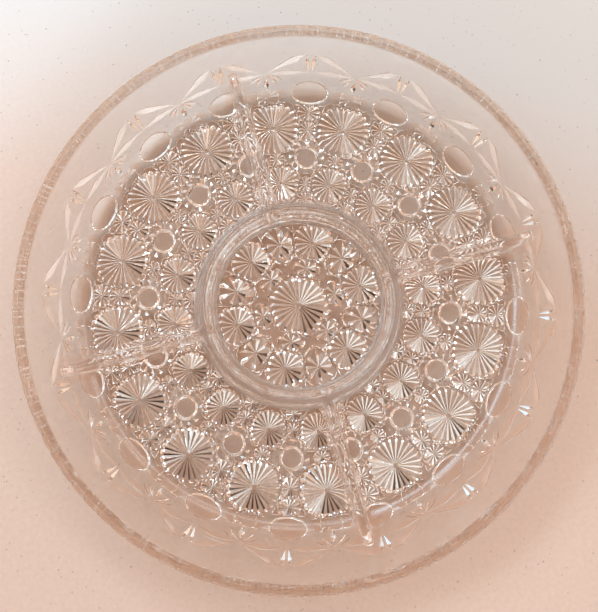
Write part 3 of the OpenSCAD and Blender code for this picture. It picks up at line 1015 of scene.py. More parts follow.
@dataclass(frozen=True)
class Rosette:
    """A block with rays cut into its flat face, and petal-shaped facets from the rays to the block's corners.

    Attributes:
        short, cap: length of the shortest rays, and of the longest as a share of it.
        relief, brow: height of the face, and of the block at its edges.
        slope: slope of a ray's flanks, in radians.
        land: share of the space between rays that stays flat.
        lean: how far the bottom of a ray lies off its middle, as a share of its half width.
        rim: least width between the rays and the block's edge.
        deepest: greatest depth of a ray, as a share of the relief.
        along, wide, deep: shares of a ray's length, width and depth on each ring of points.
    """

    rays: int
    short: float
    relief: float
    brow: float
    slope: float = math.radians(41.5)
    land: float = 0.06
    lean: float = -0.157
    cap: float = 1.08
    rim: float = 0.35
    deepest: float = 0.9
    along: tuple[float, ...] = (0.0, 0.05, 0.11, 0.5, 0.86, 0.93, 0.975, 1.0)
    wide: tuple[float, ...] = (1.0, 1.0, 1.0, 1.0, 1.0, 0.84, 0.5, 0.0)
    deep: tuple[float, ...] = (0.0, 0.0, 1.0, 1.0, 1.0, 0.84, 0.5, 0.0)

    def motif(self, cell: Cell, gap: float) -> Motif:
        """Works out the rings of the block.

        A ray's half width grows evenly with the distance from the middle, and its depth is that width times
        the tangent of the slope, but for the daisy's flat middle, until the ray closes in a rounded point.
        Beyond the rays every column ends in the nearest corner of the cell, which makes the petals.

        Args:
            cell: patch that the block fills.
            gap: half the gap between two blocks.

        Returns:
            The motif.
        """
        pitch = TWO_PI / self.rays
        ray = np.arange(self.rays) * pitch
        reach = np.minimum(cell.reach(ray, self.rim + gap), self.short * self.cap)
        next_reach = np.roll(reach, -1)
        between = np.minimum((reach + next_reach) / 2, cell.reach(ray + pitch / 2, self.rim + gap))
        share, wide_share, deep_share = (np.array(s)[:, None] for s in (self.along, self.wide, self.deep))
        wide = wide_share * (1 - self.land) * pitch / 2
        cut = share * reach * math.sin(pitch / 2) * (1 - self.land) * math.tan(self.slope) * deep_share
        depth = np.minimum(cut, self.relief * self.deepest)
        flat = np.zeros_like(depth)
        angle = side_by_side(ray + wide * self.lean, ray + wide, ray + pitch / 2, ray + pitch - wide)
        radius = side_by_side(share * reach, share * reach, share * between, share * next_reach)
        height = self.relief - side_by_side(depth, flat, flat, flat)
        last_full = int(np.flatnonzero(wide_share == 1.0)[-1])
        edge = nearest(angle[last_full] % TWO_PI, cell.corners())[None]
        outline = cell.reach(edge, gap)
        angle = np.concatenate([angle, edge, edge])
        radius = np.concatenate([radius, outline, outline])
        height = np.concatenate([height, np.full_like(edge, self.brow), np.zeros_like(edge)])
        return Motif(radius * np.cos(angle), radius * np.sin(angle), height)


@dataclass(frozen=True)
class Button:
    """A round button in a crown of small facets.

    Its face and its collar's foot have a radius and a height each, and dish is the hollow in the face. The
    crown has teeth, and heights of its points and of its notches.
    """

    face_r: float
    foot_r: float
    relief: float
    dish: float = 0.12
    foot: float = 0.25
    teeth: int = 13
    crown: tuple[float, float] = (1.9, 0.35)
    face_rings: tuple[float, ...] = (0.0, 0.4, 0.75, 1.0)

    def motif(self, cell: Cell, gap: float) -> Motif:
        """Works out the rings of the button: dished face, slanted collar, crown and seat.

        The face lies under its relief by the hollow times 1 less the square of the share of the radius.

        Args:
            cell: patch that the button and its crown fill.
            gap: half the gap between two blocks.

        Returns:
            The motif.
        """
        count = 2 * self.teeth
        angle = np.arange(count)[None] * TWO_PI / count
        share = np.array(self.face_rings)[:, None]
        face = np.broadcast_to(share * self.face_r, (len(share), count))
        face_h = np.broadcast_to(self.relief - self.dish * (1 - share ** 2), (len(share), count))
        outline = cell.reach(angle, gap)
        foot = np.minimum(self.foot_r, outline - gap)
        point = (np.arange(count) % 2 == 0)[None]
        radius = np.concatenate([face, foot, outline, outline])
        height = np.concatenate([
            face_h, np.full((1, count), self.foot), np.where(point, *self.crown), np.zeros((1, count))])
        angle = np.broadcast_to(angle, radius.shape)
        return Motif(radius * np.cos(angle), radius * np.sin(angle), height)


@dataclass(frozen=True)
class Spot:
    """Where a kind of motif sits in one repeat, and how much room it takes.

    It has a distance from the dish's axis, the angle of its first copy, and the number of copies. Its size is
    the radius that counts where two kinds share the room between them.
    """

    r: float
    turn: float
    count: int
    size: float

    def cell(self, others: list["Spot"], least: float = 0.5, most: float = 45.0) -> Cell:
        """Patch that falls to the first copy where the plan is divided among all motifs.

        The edge against another motif stands square on the line between both, where the squared distances
        less the squared sizes are equal.

        Args:
            others: all kinds of motif, this one too.
            least: distance under which another motif is this one.
            most: distance from which another motif is too far off to count.

        Returns:
            The patch, with its first direction outwards.
        """
        facing, away = [], []
        for other in others:
            angle = other.turn - self.turn + np.arange(other.count) * TWO_PI / other.count
            dx, dy = other.r * np.cos(angle) - self.r, other.r * np.sin(angle)
            distance = np.hypot(dx, dy)
            near = (distance > least) & (distance < most)
            facing.append(np.arctan2(dy, dx)[near])
            distance = distance[near]
            away.append((distance ** 2 + self.size ** 2 - other.size ** 2) / (2 * distance))
        return Cell(np.concatenate(facing), np.concatenate(away))


class Kind(Enum):
    """The places of the underside that motifs fill: round the foot ring, and then under the well."""

    LARGE = "large daisies"
    SMALL = "small daisies"
    BUTTON = "round buttons"
    MID = "stars between large daisies"
    LOW = "stars at the heel"
    INNER = "stars between both rings"
    RING = "stars between small daisies"
    ROOT = "stars at the foot ring"
    CENTRE = "middle of the well"
    WELL_DAISY = "daisies round it"
    WELL_INNER = "stars inside these daisies"
    WELL_OUTER = "stars between these daisies"


@dataclass(frozen=True)
class PatternShares:
    """How the pattern divides the underside.

    Rings and half sizes outwards are shares of the band from the foot ring to the heel, or of the radius of
    the well's floor, and half sizes sideways of half the distance between repeats. A button is a share of a
    small daisy's two half sizes together. Ovals and heel stars are shares of the heel's length and of the
    repeat, an oval's seat of its face, and the room beside it of its seat. Heights are shares of the relief.
    """

    large_ring: float = 0.775
    small_ring: float = 0.227
    large_out: float = 0.2465
    large_side: float = 0.7225
    small_out: float = 0.175
    small_side: float = 0.7475
    button: float = 0.347
    button_face: float = 0.72
    button_foot: float = 0.97
    well_daisy: float = 0.216
    well_ring: float = 0.77
    centre: float = 0.35
    oval_out: float = 0.47
    oval_side: float = 0.21
    oval_seat: float = 1.16
    oval_room: float = 1.05
    oval_start: float = 0.05
    low_end: float = 0.045
    heel_star_end: float = 0.66
    heel_star_side: float = 0.94
    brow: float = 0.52
    star: float = 0.85
    star_brow: float = 0.35


@dataclass
class Underside:
    """The daisy-and-button pattern under the floor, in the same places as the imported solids.

    Attributes:
        pattern_turn, well_turn: turn of each pattern against the dividers, in radians.
        gap, edge_gap: gaps between motifs, and between the motifs and the foot ring.
        large_more: room that a large daisy takes beyond its half size.
        button_more: room that a button takes, as a share of the distance to its flats.
        low_start: distance from a mid star's middle to the room of the low stars.
        root, root_out: depth of the roots in the glass, and the innermost stars' distance from the foot ring.
        fan_half, fan_edges: half the angle in degrees over which the foot ring bounds a motif under the well,
            and the number of straight edges that stand for it.
        heel_slant: facing of the slanted edges of a star on the heel, in degrees.
        oval_out, oval_collar: how far an oval's face is held out from the heel, and its collar's width.
    """

    section: DishSection
    shares: PatternShares = PatternShares()
    repeats: int = 16
    well_repeats: int = 6
    pattern_turn: float = math.radians(3.4)
    well_turn: float = math.radians(1.5)
    bevel: float = 0.8
    gap: float = 0.12
    edge_gap: float = 0.15
    root: float = 0.3
    large_more: float = 0.6
    button_more: float = 1.1
    low_start: float = 5.2
    root_out: float = 3.0
    fan_half: float = 24.0
    fan_edges: int = 7
    heel_slant: float = 62.0
    oval_out: float = 0.62
    oval_collar: float = 0.85
    oval_points: int = 40

    @property
    def band_w(self) -> float:
        """Width of the band from the foot ring to the heel."""
        return self.section.heel_start_r - self.section.foot_out_r

    @property
    def pitch(self) -> float:
        """Angle from one repeat to the next."""
        return TWO_PI / self.repeats

    @property
    def daisy_turn(self) -> float:
        """Angle of the first daisy."""
        return self.pattern_turn + self.pitch / 2

    def half_pitch(self, r: float) -> float:
        """Half the distance between repeats on a ring."""
        return r * math.sin(self.pitch / 2)

    @property
    def large_ring_r(self) -> float:
        """Radius of the ring of large daisies."""
        return self.section.foot_out_r + self.band_w * self.shares.large_ring

    @property
    def small_ring_r(self) -> float:
        """Radius of the ring of small daisies."""
        return self.section.foot_out_r + self.band_w * self.shares.small_ring

    @property
    def large_half(self) -> tuple[float, float]:
        """Half sizes of a large daisy's block, outwards and sideways."""
        half_v = self.half_pitch(self.large_ring_r) * self.shares.large_side
        return self.band_w * self.shares.large_out, half_v

    @property
    def small_half(self) -> tuple[float, float]:
        """Half sizes of a small daisy's block, outwards and sideways."""
        half_v = self.half_pitch(self.small_ring_r) * self.shares.small_side
        return self.band_w * self.shares.small_out, half_v

    @property
    def button_ring_r(self) -> float:
        """Radius of the ring of round buttons, in the middle between the two rings of daisies."""
        room = self.large_ring_r - self.large_half[0] - self.small_ring_r - self.small_half[0]
        return self.small_ring_r + self.small_half[0] + room / 2

    @property
    def button_r(self) -> float:
        """Distance from a button's middle to its flats."""
        return sum(self.small_half) * self.shares.button

    @property
    def daisy_edge_r(self) -> float:
        """Distance from the axis at which the large daisies end."""
        return self.large_ring_r + self.large_half[0]

    @property
    def oval_r(self) -> float:
        """Distance of the ovals' middles from the axis."""
        return float(self.section.skin_rz(np.array(self.section.heel_len / 2), 0)[0])

    @property
    def oval_face_half(self) -> float:
        """Half width of an oval's face round the dish."""
        return self.oval_r * self.pitch * self.shares.oval_side

    @property
    def oval_half(self) -> float:
        """Half width of an oval's seat round the dish."""
        return self.oval_face_half * self.shares.oval_seat

    def on_floor(self, radius: float, u: Array, v: Array, h: Array, angle: float) -> Array:
        """Puts a flat motif under the floor: slid out by a radius and turned about the axis."""
        x, y, cosine, sine = radius + u, v, math.cos(angle), math.sin(angle)
        return np.stack([x * cosine - y * sine, x * sine + y * cosine, self.section.relief - h], axis=-1)

    def on_skin(self, s: float, u: Array, v: Array, h: Array, angle: float) -> Array:
        """Lays a motif over the curved heel: u runs along the outside path from s, and v round the dish."""
        (r0, _), (r, z) = self.section.skin_rz(s + u, 0), self.section.skin_rz(s + u, h)
        return ring_points(r, angle + v / r0, z)

    def ring_of(self, node: str, motif: Motif, place: Placement, count: int, first: float) -> GlassPiece:
        """Repeats one motif round the dish from its first angle on, as one piece."""
        plugs = [motif.plug(place, first + k * TWO_PI / count, self.root) for k in range(count)]
        return GlassPiece(node, Shell.join(plugs))

    @property
    def spots(self) -> dict[Kind, Spot]:
        """All kinds of motif between the foot ring and the heel.

        Returns:
            The spot of each kind.
        """
        mid, day, count = self.pattern_turn, self.daisy_turn, self.repeats
        chord = math.cos(self.pitch / 2)
        mid_r = self.large_ring_r * chord
        low_end = self.section.heel_start_r - self.section.heel_len * self.shares.low_end
        return {
            Kind.LARGE: Spot(self.large_ring_r, day, count, size=self.large_half[0] + self.large_more),
            Kind.SMALL: Spot(self.small_ring_r, day, count, size=self.small_half[0]),
            Kind.BUTTON: Spot(self.button_ring_r, mid, count, size=self.button_r * self.button_more),
            Kind.MID: Spot(mid_r, mid, count, size=4.2),
            Kind.LOW: Spot((mid_r + self.low_start + low_end) / 2, mid, count, size=3.8),
            Kind.INNER: Spot(self.button_ring_r, day, count, size=3.3),
            Kind.RING: Spot(self.small_ring_r * chord, mid, count, size=3.2),
            Kind.ROOT: Spot(self.section.foot_out_r + self.root_out, mid, count, size=2.6)}

    @property
    def well_spots(self) -> dict[Kind, Spot]:
        """All kinds of motif under the well.

        Returns:
            The spot of each kind.
        """
        day, mid, count = self.well_turn, self.well_turn + math.pi / self.well_repeats, self.well_repeats
        well_r, shares = self.section.foot_in_r, self.shares
        centre_half, ring_r = well_r * shares.centre, well_r * shares.well_ring
        half = well_r * shares.well_daisy
        inner_r = (centre_half + ring_r - half) / 2
        return {
            Kind.CENTRE: Spot(0.0, day, 1, size=centre_half),
            Kind.WELL_DAISY: Spot(ring_r, day, count, size=half),
            Kind.WELL_INNER: Spot(inner_r, day, count, size=4.2),
            Kind.WELL_OUTER: Spot(ring_r, mid, count, size=6.4)}

    def bounded(self, kind: Kind, spots: dict[Kind, Spot]) -> Cell:
        """Patch of a motif, held between the foot ring, the heel and the ovals.

        Args:
            kind: kind of the motif.
            spots: all kinds that share the room.

        Returns:
            The patch.
        """
        section, spot = self.section, spots[kind]
        cell = spot.cell(list(spots.values()))
        if spot.r < section.ring_r:
            fan = np.radians(np.linspace(-self.fan_half, self.fan_half, self.fan_edges))
            room = section.foot_in_r - self.edge_gap - spot.r * np.cos(fan)
            return cell.with_edges(list(fan), list(room))
        oval_edge_r = section.heel_start_r - section.heel_len * self.shares.oval_start
        outer = self.daisy_edge_r if spot.turn == self.daisy_turn else oval_edge_r
        inward = spot.r - section.foot_out_r - self.edge_gap
        cell = cell.with_edges([math.pi, 0.0], [inward, outer - spot.r])
        if kind is Kind.LARGE:
            x = self.oval_r * math.cos(self.pitch / 2) - spot.r
            y = self.oval_r * math.sin(self.pitch / 2)
            side = math.atan2(y, x)
            room = math.hypot(x, y) - self.oval_half * self.shares.oval_room
            cell = cell.with_edges([side, -side], [room, room])
        return cell

    def patch(self, node: str, shape: Rosette | Button, *kinds: Kind) -> GlassPiece:
        """All copies of one or more kinds of motif, as one piece.

        Args:
            node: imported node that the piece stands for.
            shape: the motif that fills the patches.
            kinds: the kinds.

        Returns:
            The piece.
        """
        shells = []
        for kind in kinds:
            spots = self.spots if kind in self.spots else self.well_spots
            spot = spots[kind]
            motif = shape.motif(self.bounded(kind, spots), self.gap / 2)
            place = partial(self.on_floor, spot.r)
            shells.append(self.ring_of(node, motif, place, spot.count, spot.turn).shell)
        return GlassPiece(node, Shell.join(shells))

    def day(self, rays: int, half: float, more: float, cap: float = Rosette.cap) -> Rosette:
        """A daisy whose shortest rays are as long as its half size and some more."""
        relief = self.section.relief
        return Rosette(rays, half + more, relief, relief * self.shares.brow, cap=cap)

    def star(self, rays: int, short: float, **sizes: float) -> Rosette:
        """A star that is lower than the daisies, with some of a rosette's sizes set."""
        relief = self.section.relief
        return Rosette(rays, short, relief * self.shares.star, relief * self.shares.star_brow, **sizes)

    def pieces(self) -> list[GlassPiece]:
        """Every motif of the floor, the well and the heel.

        Returns:
            One piece for each node.
        """
        shares, relief = self.shares, self.section.relief
        large = self.day(24, self.large_half[0], more=0.1)
        small = self.day(20, self.small_half[0], more=-0.3)
        well = self.well_spots
        centre = self.day(24, well[Kind.CENTRE].size, more=-0.2, cap=1.15)
        well_day = self.day(16, well[Kind.WELL_DAISY].size, more=0.4, cap=1.15)
        flower = Rosette(8, short=8.2, relief=relief, brow=relief * shares.star_brow, cap=1.3, rim=0.3)
        inner_flower = self.star(8, short=5.4, cap=1.4, rim=0.25)
        little = self.star(12, short=4.4, cap=1.5, rim=0.25)
        tiny = self.star(10, short=3.2, cap=1.4, rim=0.2)
        button = Button(self.button_r * shares.button_face, self.button_r * shares.button_foot, relief)
        return [
            self.patch("large_daisies", large, Kind.LARGE),
            self.patch("small_daisies", small, Kind.SMALL),
            self.patch("small_buttons", button, Kind.BUTTON),
            self.patch("mid_stars", little, Kind.MID, Kind.LOW),
            self.patch("inner_stars", tiny, Kind.INNER),
            self.patch("ring_stars", tiny, Kind.RING, Kind.ROOT),
            self.patch("centre_daisy", centre, Kind.CENTRE),
            self.patch("well_daisies", well_day, Kind.WELL_DAISY),
            self.patch("well_inner_stars", inner_flower, Kind.WELL_INNER),
            self.patch("well_outer_stars", flower, Kind.WELL_OUTER),
            self.heel_stars(),
            self.heel_ovals()]

    def heel_stars(self) -> GlassPiece:
        """The stars on the heel, in patches that narrow towards the ovals at their sides.

        Returns:
            The piece.
        """
        start = self.daisy_edge_r - self.section.heel_start_r
        high = (self.section.heel_len * self.shares.heel_star_end - start - 2 * self.gap) / 2
        slant = self.heel_slant
        half_v = self.oval_r * self.pitch / 2 - self.oval_half
        wide = half_v * self.shares.heel_star_side * math.cos(math.radians(90.0 - slant))
        facing = [0.0, math.pi, *np.radians([slant, -slant, 180.0 - slant, slant - 180.0])]
        cell = Cell(np.array(facing), np.array([high, high, wide, wide, wide, wide]))
        star = self.star(12, short=3.7, slope=math.radians(33), cap=1.7, rim=0.25)
        place = partial(self.on_skin, start + self.gap + high)
        motif = star.motif(cell, self.gap / 2)
        return self.ring_of("outer_stars", motif, place, self.repeats, self.daisy_turn)

    def heel_ovals(self) -> GlassPiece:
        """Flat ovals cut square across the heel.

        The face is a flat ellipse on the plane that touches the heel's middle, held out a little, and the
        collar runs from it to a larger ellipse on the skin.

        Returns:
            The piece.
        """
        section = self.section
        s, tilt = section.heel_len / 2, section.turn / 2
        half_s, half_v = section.heel_len * self.shares.oval_out, self.oval_face_half
        collar = self.oval_collar
        turn = np.arange(self.oval_points) * TWO_PI / self.oval_points
        share = np.array([0.0, 0.5, 1.0])[:, None]
        fu, fv = share * half_s * np.cos(turn), share * half_v * np.sin(turn)
        r0, z0 = section.skin_rz(np.array(s), self.oval_out)
        face_r, face_z = r0 + fu * math.cos(tilt), z0 + fu * math.sin(tilt)
        edge_share = np.array([1.0, 1.0, 0.5, 0.0])[:, None]
        edge_h = np.array([0.0, -self.root, -self.root, -self.root])[:, None]
        eu, ev = edge_share * (half_s + collar) * np.cos(turn), edge_share * (half_v + collar) * np.sin(turn)
        edge_r, edge_z = section.skin_rz(s + eu, edge_h)
        plain_r = section.skin_rz(s + eu, 0)[0]
        sides = np.array([Side.FACET] * 3 + [Side.JOINT] * 3)
        shells = []
        for k in range(self.repeats):
            angle = self.pattern_turn + k * self.pitch
            face = np.stack([
                face_r * math.cos(angle) - fv * math.sin(angle),
                face_r * math.sin(angle) + fv * math.cos(angle), face_z], axis=-1)
            points = np.concatenate([face, ring_points(edge_r, angle + ev / plain_r, edge_z)])
            shells.append(Shell.from_grid(points, sides[:, None]).welded())
        return GlassPiece("large_buttons", Shell.join(shells))


@dataclass(frozen=True)
class LeafForm:
    """The form of one kind of leaf.

    It has a half width in millimetres at its widest place, which is a share of its length. The ridge's offset
    is a share of that half width, and the trim at each end a share of the line between its two places.
    """

    half_w: float
    widest: float = 0.5
    crest: float = 0.0
    trim: float = 0.01


@dataclass
class WallPattern:
    """The leaf-shaped cuts round the wall: bursts over the daisies and stars over the ovals.

    Attributes:
        burst_share, ear_share: heights of the bursts' middles and of the upper tips, in lengths of the wall.
        ear_turn: angle from a burst to its upper tips, as a share of the repeat.
        fan_feet: the same angle of its two lower tips, and how far they lie under its middle.
        tip_turns: angles from the middle of a star to the lower and upper ends of its tips.
        leaf_high, full_half_w: height of the leaves, and half width from which they have all of it.
        feather, bar, fan, tip, spike: forms of the leaves that rise from a burst, join two bursts, hang from
            a burst, stand between bursts and lie on the heel.
    """

    under: Underside
    burst_share: float = 0.21
    ear_share: float = 0.6
    ear_turn: float = 0.45
    fan_feet: tuple[tuple[float, float], ...] = ((0.13, 0.24), (0.2, 0.165))
    tip_turns: tuple[float, float] = (0.015, 0.05)
    spike_end: float = 0.12
    leaf_high: float = 2.0
    full_half_w: float = 2.0
    stations: int = 9
    feather: LeafForm = LeafForm(2.0, widest=0.74, crest=0.3)
    bar: LeafForm = LeafForm(1.7, crest=0.3)
    fan: LeafForm = LeafForm(1.2, widest=0.62)
    tip: LeafForm = LeafForm(1.1, widest=0.6, trim=0.02)
    spike: LeafForm = LeafForm(1.5, trim=0.0)

    @property
    def section(self) -> DishSection:
        """The section that carries the cuts."""
        return self.under.section

    def leaf(self, first: SkinPlace, last: SkinPlace, form: LeafForm, way: int = 1) -> Shell:
        """One straight-edged leaf between two places on the outside.

        Width and height grow evenly from one tip to the widest place and fall evenly to the other tip, and
        the ridge can lie off the middle. Each tip stays short of its place by the form's trim.

        Args:
            first: place that one tip points to.
            last: place that the other tip points to.
            form: the leaf's form.
            way: side to which the ridge is offset, 1 or -1.

        Returns:
            The closed shell.
        """
        section = self.section
        a, b = np.array(first), np.array(last)
        start, end = a + (b - a) * form.trim, b + (a - b) * form.trim
        t = np.unique(np.concatenate([np.linspace(0, 1, self.stations), [form.widest]]))[:, None]
        swell = np.minimum(t / form.widest, (1 - t) / (1 - form.widest))
        angle = start[0] + (end[0] - start[0]) * t
        s = start[1] + (end[1] - start[1]) * t
        r = section.skin_rz(s, 0)[0]
        run = np.array([(end[0] - start[0]) * r.mean(), end[1] - start[1]])
        side = np.array([-run[1], run[0]]) / np.hypot(*run)
        across = np.array([1.0, way * form.crest, -1.0, -1.0, 0.0, 1.0])
        depth = np.array([0.0, 1.0, 0.0, 0.0, 0.0, 0.0])
        root = np.array([0.0, 0.0, 0.0, 1.0, 1.0, 1.0]) * self.under.root
        offset = form.half_w * swell * across
        place_s = s + offset * side[1]
        place_angle = angle + offset * side[0] / r
        high = self.leaf_high * min(1.0, form.half_w / self.full_half_w)
        out_r, out_z = section.skin_rz(place_s, high * swell * depth - root)
        sides = np.array([Side.FACET] * 2 + [Side.JOINT] * 4)
        points = ring_points(out_r, place_angle, out_z)
        return Shell.from_grid(points, sides[None, :]).welded()

    def pieces(self) -> list[GlassPiece]:
        """All five kinds of cut, built repeat by repeat and on both sides of a burst.

        Returns:
            One piece for each kind.
        """
        section, pitch = self.section, self.under.pitch
        burst_s = section.heel_len + section.wall_len * self.burst_share
        ear_s = section.heel_len + section.wall_len * self.ear_share
        heel_s = section.heel_len * self.under.shares.heel_star_end
        spike_s = section.heel_len + section.wall_len * self.spike_end
        feathers, bars, fans, tips, spikes = [], [], [], [], []
        for k in range(self.under.repeats):
            turn = self.under.daisy_turn + k * pitch
            burst = (turn, burst_s)
            for way in (-1, 1):
                ear = (turn + way * pitch * self.ear_turn, ear_s)
                feathers.append(self.leaf(burst, ear, self.feather, way))
                bars.append(self.leaf(burst, (turn + way * pitch / 2, burst_s), self.bar, way))
                for turn_share, drop in self.fan_feet:
                    foot = (turn + way * pitch * turn_share, burst_s - section.wall_len * drop)
                    fans.append(self.leaf(burst, foot, self.fan))
                low, high = (turn + pitch / 2 + way * pitch * share for share in self.tip_turns)
                tips.append(self.leaf((low, burst_s), (high, ear_s), self.tip))
            spikes.append(self.leaf((turn, heel_s), (turn, spike_s), self.spike))
        leaves = {
            "wall_feathers": feathers, "wall_bars": bars, "wall_fans": fans, "wall_tips": tips,
            "wall_spikes": spikes}
        return [GlassPiece(node, Shell.join(shells)) for node, shells in leaves.items()]


def preset(node: bpy.types.Node, **values: float | Colour) -> None:
    """Sets inputs of a node by name, where _ stands for the space in a name."""
    for name, value in values.items():
        node.inputs[name.replace("_", " ")].default_value = value


def mask_along(tree: NodeTree, place: Socket, axis: Vector | tuple[float, float, float],
               shut: float, full: float) -> bpy.types.Node:
    """Makes a mask that opens evenly as a place or direction goes along an axis.

    Args:
        tree: nodes that it joins.
        place: the place or direction.
        axis: the axis.
        shut: distance at which the mask is 0.
        full: distance at which the mask is 1.

    Returns:
        The mask's node.
    """
    along, mask = tree.nodes.new("ShaderNodeVectorMath"), tree.nodes.new("ShaderNodeMapRange")
    along.operation = "DOT_PRODUCT"
    along.inputs[1].default_value = axis
    preset(mask, From_Min=shut, From_Max=full)
    tree.links.new(place, along.inputs[0])
    tree.links.new(along.outputs["Value"], mask.inputs["Value"])
    return mask


def laid_over(tree: NodeTree, share: Socket, under: Socket, over: Colour) -> Socket:
    """Lays a plain colour over another one.

    Args:
        tree: nodes that it joins.
        share: how much of the plain colour shows.
        under: the other colour.
        over: the plain colour.

    Returns:
        The mixed colour.
    """
    mix = tree.nodes.new("ShaderNodeMix")
    mix.data_type = "RGBA"
    preset(mix, B=over)
    tree.links.new(share, mix.inputs["Factor"])
    tree.links.new(under, mix.inputs["A"])
    return mix.outputs["Result"]


@dataclass(frozen=True)
class Ripple:
    """The shared effect of pressed glass: slow waves, drawn streaks and a faint change of polish.

    The sizes of its patterns are in cells per metre.
    """

    wave_detail: float = 1.0
    streak_size: float = 2400.0
    streak_detail: float = 2.0
    haze_size: float = 55.0
    haze_detail: float = 3.0

    def group(self) -> NodeTree:
        """Builds the node group, whose normal is bumped by the waves and then by the streaks.

        Returns:
            The group.
        """
        group = bpy.data.node_groups.new("pressed_ripple", "ShaderNodeTree")
        for name in ("Wave Size", "Wave Depth", "Streak Depth", "Polish", "Haze"):
            group.interface.new_socket(name, in_out="INPUT", socket_type="NodeSocketFloat")
        group.interface.new_socket("Normal", in_out="OUTPUT", socket_type="NodeSocketVector")
        group.interface.new_socket("Roughness", in_out="OUTPUT", socket_type="NodeSocketFloat")
        nodes = group.nodes
        given, out = nodes.new("NodeGroupInput"), nodes.new("NodeGroupOutput")
        place, grain = nodes.new("ShaderNodeTexCoord"), nodes.new("ShaderNodeAttribute")
        wave, haze, streak = (nodes.new("ShaderNodeTexNoise") for _ in range(3))
        bump, lines = nodes.new("ShaderNodeBump"), nodes.new("ShaderNodeBump")
        mix = nodes.new("ShaderNodeMapRange")
        grain.attribute_name = "grain"
        preset(wave, Detail=self.wave_detail)
        preset(streak, Scale=self.streak_size, Detail=self.streak_detail)
        preset(haze, Scale=self.haze_size, Detail=self.haze_detail)
        for start, name, end, goal in (
                (place, "Object", wave, "Vector"), (place, "Object", haze, "Vector"),
                (given, "Wave Size", wave, "Scale"), (wave, "Fac", bump, "Height"),
                (given, "Wave Depth", bump, "Distance"), (haze, "Fac", mix, "Value"),
                (given, "Polish", mix, "To Min"), (given, "Haze", mix, "To Max"),
                (grain, "Vector", streak, "Vector"), (streak, "Fac", lines, "Height"),
                (given, "Streak Depth", lines, "Distance"), (bump, "Normal", lines, "Normal"),
                (lines, "Normal", out, "Normal"), (mix, "Result", out, "Roughness")):
            group.links.new(start.outputs[name], end.inputs[goal])
        return group


@dataclass(frozen=True)
class PressedGlass:
    """Clear fire-polished glass, whose warm tint is painted shade of the shadowed counter seen through it.

    Waves are counted per metre, and the depths of waves and drawn streaks are in metres. Polish and haze are
    the roughness of its clearest and of its dullest places.
    """

    name: str
    tint_and_painted_shade: Colour
    ior: float = 1.52
    wave_size: float = 60.0
    wave_depth: float = 0.00006
    streak_depth: float = 0.0
    polish: float = 0.0
    haze: float = 0.03

    def material(self, ripple: NodeTree) -> Material:
        """Makes the material of the faces that meet the air.

        Args:
            ripple: the shared effect.

        Returns:
            The material.
        """
        material = bpy.data.materials.new(self.name)
        material.use_nodes = True
        nodes, links = material.node_tree.nodes, material.node_tree.links
        shader = nodes["Principled BSDF"]
        preset(shader, Base_Color=self.tint_and_painted_shade, IOR=self.ior, Transmission_Weight=1.0)
        effect = nodes.new("ShaderNodeGroup")
        effect.node_tree = ripple
        preset(
            effect, Wave_Size=self.wave_size, Wave_Depth=self.wave_depth, Streak_Depth=self.streak_depth,
            Polish=self.polish, Haze=self.haze)
        links.new(effect.outputs["Normal"], shader.inputs["Normal"])
        links.new(effect.outputs["Roughness"], shader.inputs["Roughness"])
        return material


class FinishAndShade(Enum):
    """The dish's glass: one clear glass, its warm tints painted shade of the shadowed counter seen through
    each part.
    """

    PLAIN = PressedGlass("clear_pressed_glass", (1.0, 0.992, 0.98, 1.0))
    # The warm tints of moulded, drawn, edge and button glass are painted shade: the counter in the dish's
    # shadow seen through the glass. The edge glass has the darkest.
    MOULDED = PressedGlass("moulded_glass_painted_shade", (1.0, 0.82, 0.7, 1.0))
    DRAWN = PressedGlass("drawn_glass_painted_shade", (1.0, 0.9, 0.83, 1.0), streak_depth=0.0001)
    EDGE = PressedGlass("edge_glass_painted_shade", (0.82, 0.68, 0.58, 1.0), streak_depth=0.0009)
    BUTTON = PressedGlass("button_glass_painted_shade", (1.0, 0.9, 0.83, 1.0))


@dataclass(frozen=True)
class GlassJoint:
    """Faces where one piece of glass runs into the next, at which light passes straight on."""

    name: str = "glass_joint"

    def material(self) -> Material:
        """Makes the see-through material.

        Returns:
            The material.
        """
        material = bpy.data.materials.new(self.name)
        material.use_nodes = True
        preset(material.node_tree.nodes["Principled BSDF"], Alpha=0.0)
        return material


